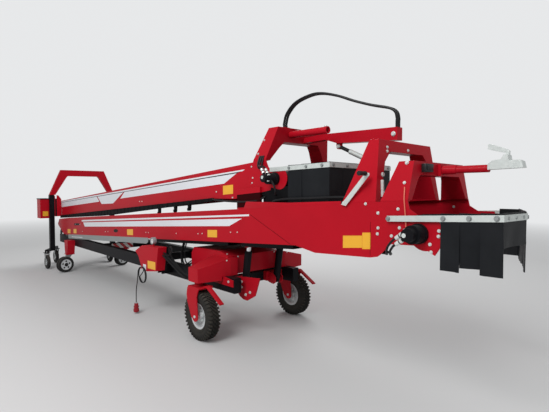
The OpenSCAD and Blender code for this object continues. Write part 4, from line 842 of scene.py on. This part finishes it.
# Lift hoses: a bundle that hangs between the chassis and the tray under the lower conveyor, with
# slack for the lift's travel.
lift_hoses = hose_set("lift_hoses", [
    [(-0.830, y, 0.800 - drop), (-0.880, y, 0.790 - drop), (-0.960, y, 0.750 - drop), (-1.050 - drop, y, 0.725 - drop),
        (-1.115 - drop, y, 0.775 - drop), (-1.130 - drop * 0.5, y, 0.870), (-1.100 - drop * 0.3, y, 0.970),
        (-1.070, y, 1.030)] for y, drop in ((-0.420, 0.0), (-0.394, 0.018), (-0.368, 0.004), (-0.408, 0.036))],
    0.009, None)
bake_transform(lift_hoses)
hose_set("console_hoses", [
    [(-1.020, -0.760 + dy, 0.930 - dz), (-0.960, -0.755 + dy, 0.900 - dz), (-0.860, -0.710 + dy, 0.810 - dz),
        (-0.740, -0.640 + dy, 0.690 - dz), (-0.640, -0.580 + dy, 0.630 - dz), (-0.500, -0.540 + dy, 0.625)]
    for dy, dz in ((0.0, 0.0), (0.030, 0.014), (-0.012, 0.034), (0.022, 0.050))] + [
    [(-1.020, -0.740, 0.900), (-0.940, -0.750, 0.892), (-0.862, -0.740, 0.920), (-0.850, -0.725, 0.985),
        (-0.905, -0.715, 1.010), (-0.942, -0.715, 0.960), (-0.900, -0.700, 0.870), (-0.800, -0.660, 0.760),
        (-0.690, -0.600, 0.660), (-0.500, -0.545, 0.640)]], 0.010, "chassis")


# Cable chain and hangers: a closed plastic cable chain lies along the near side under the upper
# conveyor, three support rollers hang below it, and rubber edging and flaps close the gaps at the head.
chain_black = moulded("chain_black", (0.006, 0.006, 0.007), 0.6, 0.06)


upper_bottom = slope(0, 1.681, 4.4)


def under(x, drop=0.0):
    """A point below the lower edge of the upper conveyor's side plates."""
    return x, upper_bottom(x) - drop


chain_feet = [(-0.200, 0.040), (-0.600, 0.047), (-2.000, 0.075), (-3.400, 0.100), (-3.900, 0.100), (-5.000, 0.082),
    (-6.500, 0.062)]
chain = Shape()
CHAIN_LINKS = 84
for k in range(CHAIN_LINKS):
    x0, x1 = (-6.500 + 6.300 * (k + e) / CHAIN_LINKS for e in (0.02, 0.98))
    low = [next(h1 + (h0 - h1) * (x - a1) / (a0 - a1) for (a0, h0), (a1, h1) in zip(chain_feet, chain_feet[1:])
        if a1 <= x) for x in (x0, x1)]
    chain.side_plate([under(x0, low[0]), under(x1, low[1]), under(x1, 0.001), under(x0, 0.001)],
        -0.530 + 0.003 * (k % 2), -0.507)
chain.side_plate([under(-6.500, 0.058), under(-0.200, 0.036), under(-0.200), under(-6.500)], -0.518, -0.500)
for x, high in ((-1.585, 0.130), (-1.114, 0.120), (-0.744, 0.115)):
    z = upper_bottom(x)
    chain.side_plate([(x - 0.020, z - high), (x + 0.020, z - high), (x + 0.030, z), (x - 0.030, z)], -0.532, -0.500)
    chain.turned(at(x, -0.545, z - high), (0, 1, 0), [(0, 0.018), (0.003, 0.021), (0.042, 0.021), (0.045, 0.018)])
for y in (-0.498, 0.492):
    chain.side_plate([(0.720, 1.620), (1.096, 1.626), (1.096, 1.800), (0.835, 1.795), (0.720, 1.745)], y, y + 0.006)
new_piece("cable_chain", chain, chain_black, UPPER)
EDGE_TOP = [(0.489, 1.6346), (1.155, 1.6363), (1.800, 1.6626)]
lower_top = slope(0, 1.525, 3.65)
edge = Shape()
for y0, y1 in ((-0.5498, -0.5455), (0.5455, 0.5498)):
    edge.side_plate([(x, lower_top(x) - 0.010) for x in (0.440, 1.800)] + EDGE_TOP[::-1], y0, y1)
new_piece("raised_edge", edge, machine_red, LOWER, round_off=0.001)
hose_set("edge_hoses", [[(0.900, y, 1.640), (0.950, y, 1.655), (1.104, y, 1.6715), (1.400, y, 1.683), (1.760, y, 1.697),
    (1.840, y, 1.690)] for y in (-0.528, 0.528)], 0.011, LOWER)
hose_set("runner_cable", [
    [(-0.250, -0.512, 1.655), (-0.100, -0.524, 1.640), (0.200, -0.526, 1.630), (0.470, -0.526, 1.632),
        (0.640, -0.520, 1.648), (0.760, -0.505, 1.690)]], 0.011, UPPER)
# Painted shade: a dark red film on the front face of the runner block, which lies in the recess.
new_piece("runner_end_shade", Shape().box((0.7002, -0.5275, 1.586), (0.7012, -0.500, 1.736)), seam_shade, UPPER)
hood_edge = Shape().side_plate([(2.500, head_rim(2.50) - 0.012), (2.705, head_rim(2.705) - 0.034),
    (2.705, head_rim(2.705)), (2.560, head_rim(2.56) - 0.002)], -0.5690, -0.5635)
new_piece("hood_edge", hood_edge, curtain_rubber, LOWER)


# Guide brackets: a folded red plate at each side joins the guide to the upper conveyor's tail, with
# the guide's black front flange beside it.
bracket, flange = Shape(), Shape()
for side in (-1, 1):
    inner, middle, outer = side * 0.505, side * 0.605, side * 0.655
    bracket.loft([[at(x, y, z) for y, z in (
        (inner, 1.160), (middle, 1.160), (middle, 1.655), (side * 0.560, 1.645), (inner, 1.560))]
        for x in (-6.4935, -6.4885)])
    flange.box((-6.4935, min(middle, outer), 1.160), (-6.4880, max(middle, outer), 1.575))
new_piece("guide_brackets", bracket, machine_red, "guides")
new_piece("guide_flanges", flange, chassis_black, "guides")


# Small gear on the near side: the crank's grip, a thin signal cable and a switch block on the head
# portal, a plated stay by the lever, and the gauge's dial.
grip = Shape().turned(at(2.076, -0.584, 1.892), NEAR, [
    (0, 0.015), (0.003, 0.019), (0.020, 0.020), (0.045, 0.0175), (0.075, 0.0195), (0.094, 0.020), (0.099, 0.016),
    (0.100, 0.0)], steps=20, capped=False)
new_piece("crank_grip", grip, grip_black, LOWER)
block = Shape().box((2.424, -0.335, 1.900), (2.462, -0.205, 1.966)).box((2.462, -0.315, 1.915), (2.470, -0.225, 1.952))
new_piece("switch_block", block, grip_black, LOWER, round_off=0.004)
signal_orange = rubber("signal_orange", (0.62, 0.14, 0.09), (0.72, 0.20, 0.13), rough=0.4, slot="plug_plastic")
hose_set("signal_cable", [
    [(2.386, -0.519, 1.780), (2.391, -0.527, 1.758), (2.402, -0.551, 1.690), (2.414, -0.558, 1.600),
        (2.422, -0.560, 1.530), (2.428, -0.566, 1.472), (2.440, -0.590, 1.440), (2.466, -0.620, 1.432)]],
    0.0045, LOWER, signal_orange)
stay = Shape().turned(at(2.146, -0.452, 1.842), (0.03, 0, -1), [
    (0, 0.010), (0.004, 0.014), (0.095, 0.014), (0.098, 0.017), (0.138, 0.017), (0.142, 0.012)], steps=18)
new_piece("lever_stay", stay, bright_zinc, LOWER)
lever = Shape().side_plate([(1.816, 1.634), (1.867, 1.623), (2.103, 1.880), (2.098, 1.897), (2.062, 1.897)],
    -0.572, -0.564)
lever.turned(at(1.841, -0.573, 1.648), FAR, [(0, 0.013), (0.023, 0.013)], steps=16)
lever.turned(at(2.076, -0.590, 1.888), FAR, [(0, 0.013), (0.024, 0.013)], steps=16)
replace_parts(new_piece("crank_bar", lever, bright_zinc, LOWER, round_off=0.0015), "crank_lever")
STRUT_TOP, STRUT_WAY = at(1.294, 0.065, 2.218), Vector((0.343, 0, -0.154)).normalized()
sleeve = Shape().turned(STRUT_TOP, STRUT_WAY, [(0.020, 0.0190), (0.150, 0.0190)], steps=20)
new_piece("strut_sleeve", sleeve, grip_black, UPPER)
barrel = Shape().turned(STRUT_TOP, STRUT_WAY, [(0.148, 0.020), (0.152, 0.026), (0.345, 0.026), (0.350, 0.020)])
new_piece("strut_barrel", barrel, bright_zinc, UPPER)
BOLT_RING_R = 0.046
for name, body, turns in (("head", LOWER, (2.2, 3.8, 5.4)), ("upper", UPPER, (0.6, 2.2, 3.8, 5.4))):
    face_y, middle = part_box(name + "_motor")[0].y, middle_of(name + "_motor")
    end = Shape().turned(Vector((middle.x - 0.010, face_y + 0.001, middle.z)), NEAR, [(0, 0.018), (0.002, 0.016)])
    for turn in turns:
        around = BOLT_RING_R * Vector((math.cos(turn), 0, math.sin(turn)))
        end.turned(Vector((middle.x, face_y + 0.040, middle.z)) + around, NEAR, [
            (-0.02, 0.009), (0.004, 0.009), (0.006, 0.006)], steps=6)
    new_piece(name + "_motor_bolts", end, bright_zinc, body)
dial = Finish("dial_white", "panel_plastic")
dial_white = dial.surface(
    Base_Color=dial.mixed(dial.noise(60, 2), (0.70, 0.70, 0.68), (0.80, 0.80, 0.78)), Roughness=0.25)
GAUGE = at(-1.240, -0.8062, 1.068)
new_piece("gauge_dial", Shape().turned(GAUGE, NEAR, [(0, 0.0375), (0.0012, 0.0375)], steps=32), dial_white, "chassis")
tick = Shape().loft([[(-0.0012, y, 0.028), (0.0012, y, 0.028), (0.0012, y, 0.035), (-0.0012, y, 0.035)]
    for y in (-0.0006, 0.0006)]).mesh("tick")
ticks = grown(copies_round, tick, Count=12, Middle=GAUGE + Vector((0, -0.0018, 0)), Finish=grip_black)
marks = Shape().add(ticks).turned(GAUGE + Vector((0, -0.0012, 0)), NEAR, [(0, 0.005), (0.003, 0.004)], steps=12)
marks.side_plate([(-1.2418, 1.068), (-1.2382, 1.068), (-1.2175, 1.0905), (-1.2187, 1.0917)], -0.8094, -0.8086)
new_piece("gauge_marks", marks, grip_black, "chassis")


# Floor and light: a plain pale floor that melts into a pale surround, an even sky and two large
# soft lamps, one high in front and one behind, so that folds and edges read.
PALE = (0.80, 0.81, 0.82)
floor_mesh = bpy.data.meshes.new("floor")
floor_mesh.from_pydata([(-150, -150, 0), (150, -150, 0), (150, 150, 0), (-150, 150, 0)], [], [(0, 1, 2, 3)])
floor = placed("floor", floor_mesh)
MELTS_FROM, MELTS_OVER = 9.0, 14.0
ground = Finish("pale_floor")
ground.surface(Base_Color=(0.62, 0.62, 0.62), Roughness=0.9, Specular_IOR_Level=0.1)
away = ground.add("ShaderNodeVectorMath", {0: ground.place}, "Value", operation="LENGTH")
melt = ((away - MELTS_FROM) / MELTS_OVER).math("MINIMUM", 1.0).math("MAXIMUM", 0.0)
glow = ground.add("ShaderNodeEmission", {"Color": PALE})
fade = ground.add("ShaderNodeMixShader", {0: melt, 1: Wire(ground.tree, ground.shader.outputs[0]), 2: glow})
feed(ground.tree, ground.tree.nodes["Material Output"].inputs["Surface"], fade)
floor_mesh.materials.append(ground.material)

world = bpy.data.worlds.new("surround")
bpy.context.scene.world = world
world.use_nodes = True
sky = Graph(world.node_tree)
light = sky.tree.nodes["Background"]
feed(sky.tree, light.inputs["Color"], (0.86, 0.87, 0.88))
feed(sky.tree, light.inputs["Strength"], 0.62)
seen = sky.add("ShaderNodeLightPath", out="Is Camera Ray")
plain = sky.add("ShaderNodeBackground", {"Color": PALE})
blend = sky.add("ShaderNodeMixShader", {0: seen, 1: Wire(sky.tree, light.outputs[0]), 2: plain})
feed(sky.tree, sky.tree.nodes["World Output"].inputs["Surface"], blend)


def soft_lamp(name, place, aim, size, power):
    data = bpy.data.lights.new(name, "AREA")
    data.shape = "DISK"
    data.size = size
    data.energy = power
    lamp = placed(name, data)
    lamp.location = place
    lamp.rotation_euler = (aim - place).to_track_quat("-Z", "Y").to_euler()


soft_lamp("front_lamp", at(3.0, -7.5, 7.5), at(-1.5, 0, 1.0), 5.0, 620)
soft_lamp("rear_lamp", at(-6.0, 6.5, 8.0), at(-2.0, 0, 1.0), 6.0, 420)
bpy.context.scene.view_settings.view_transform = "Standard"
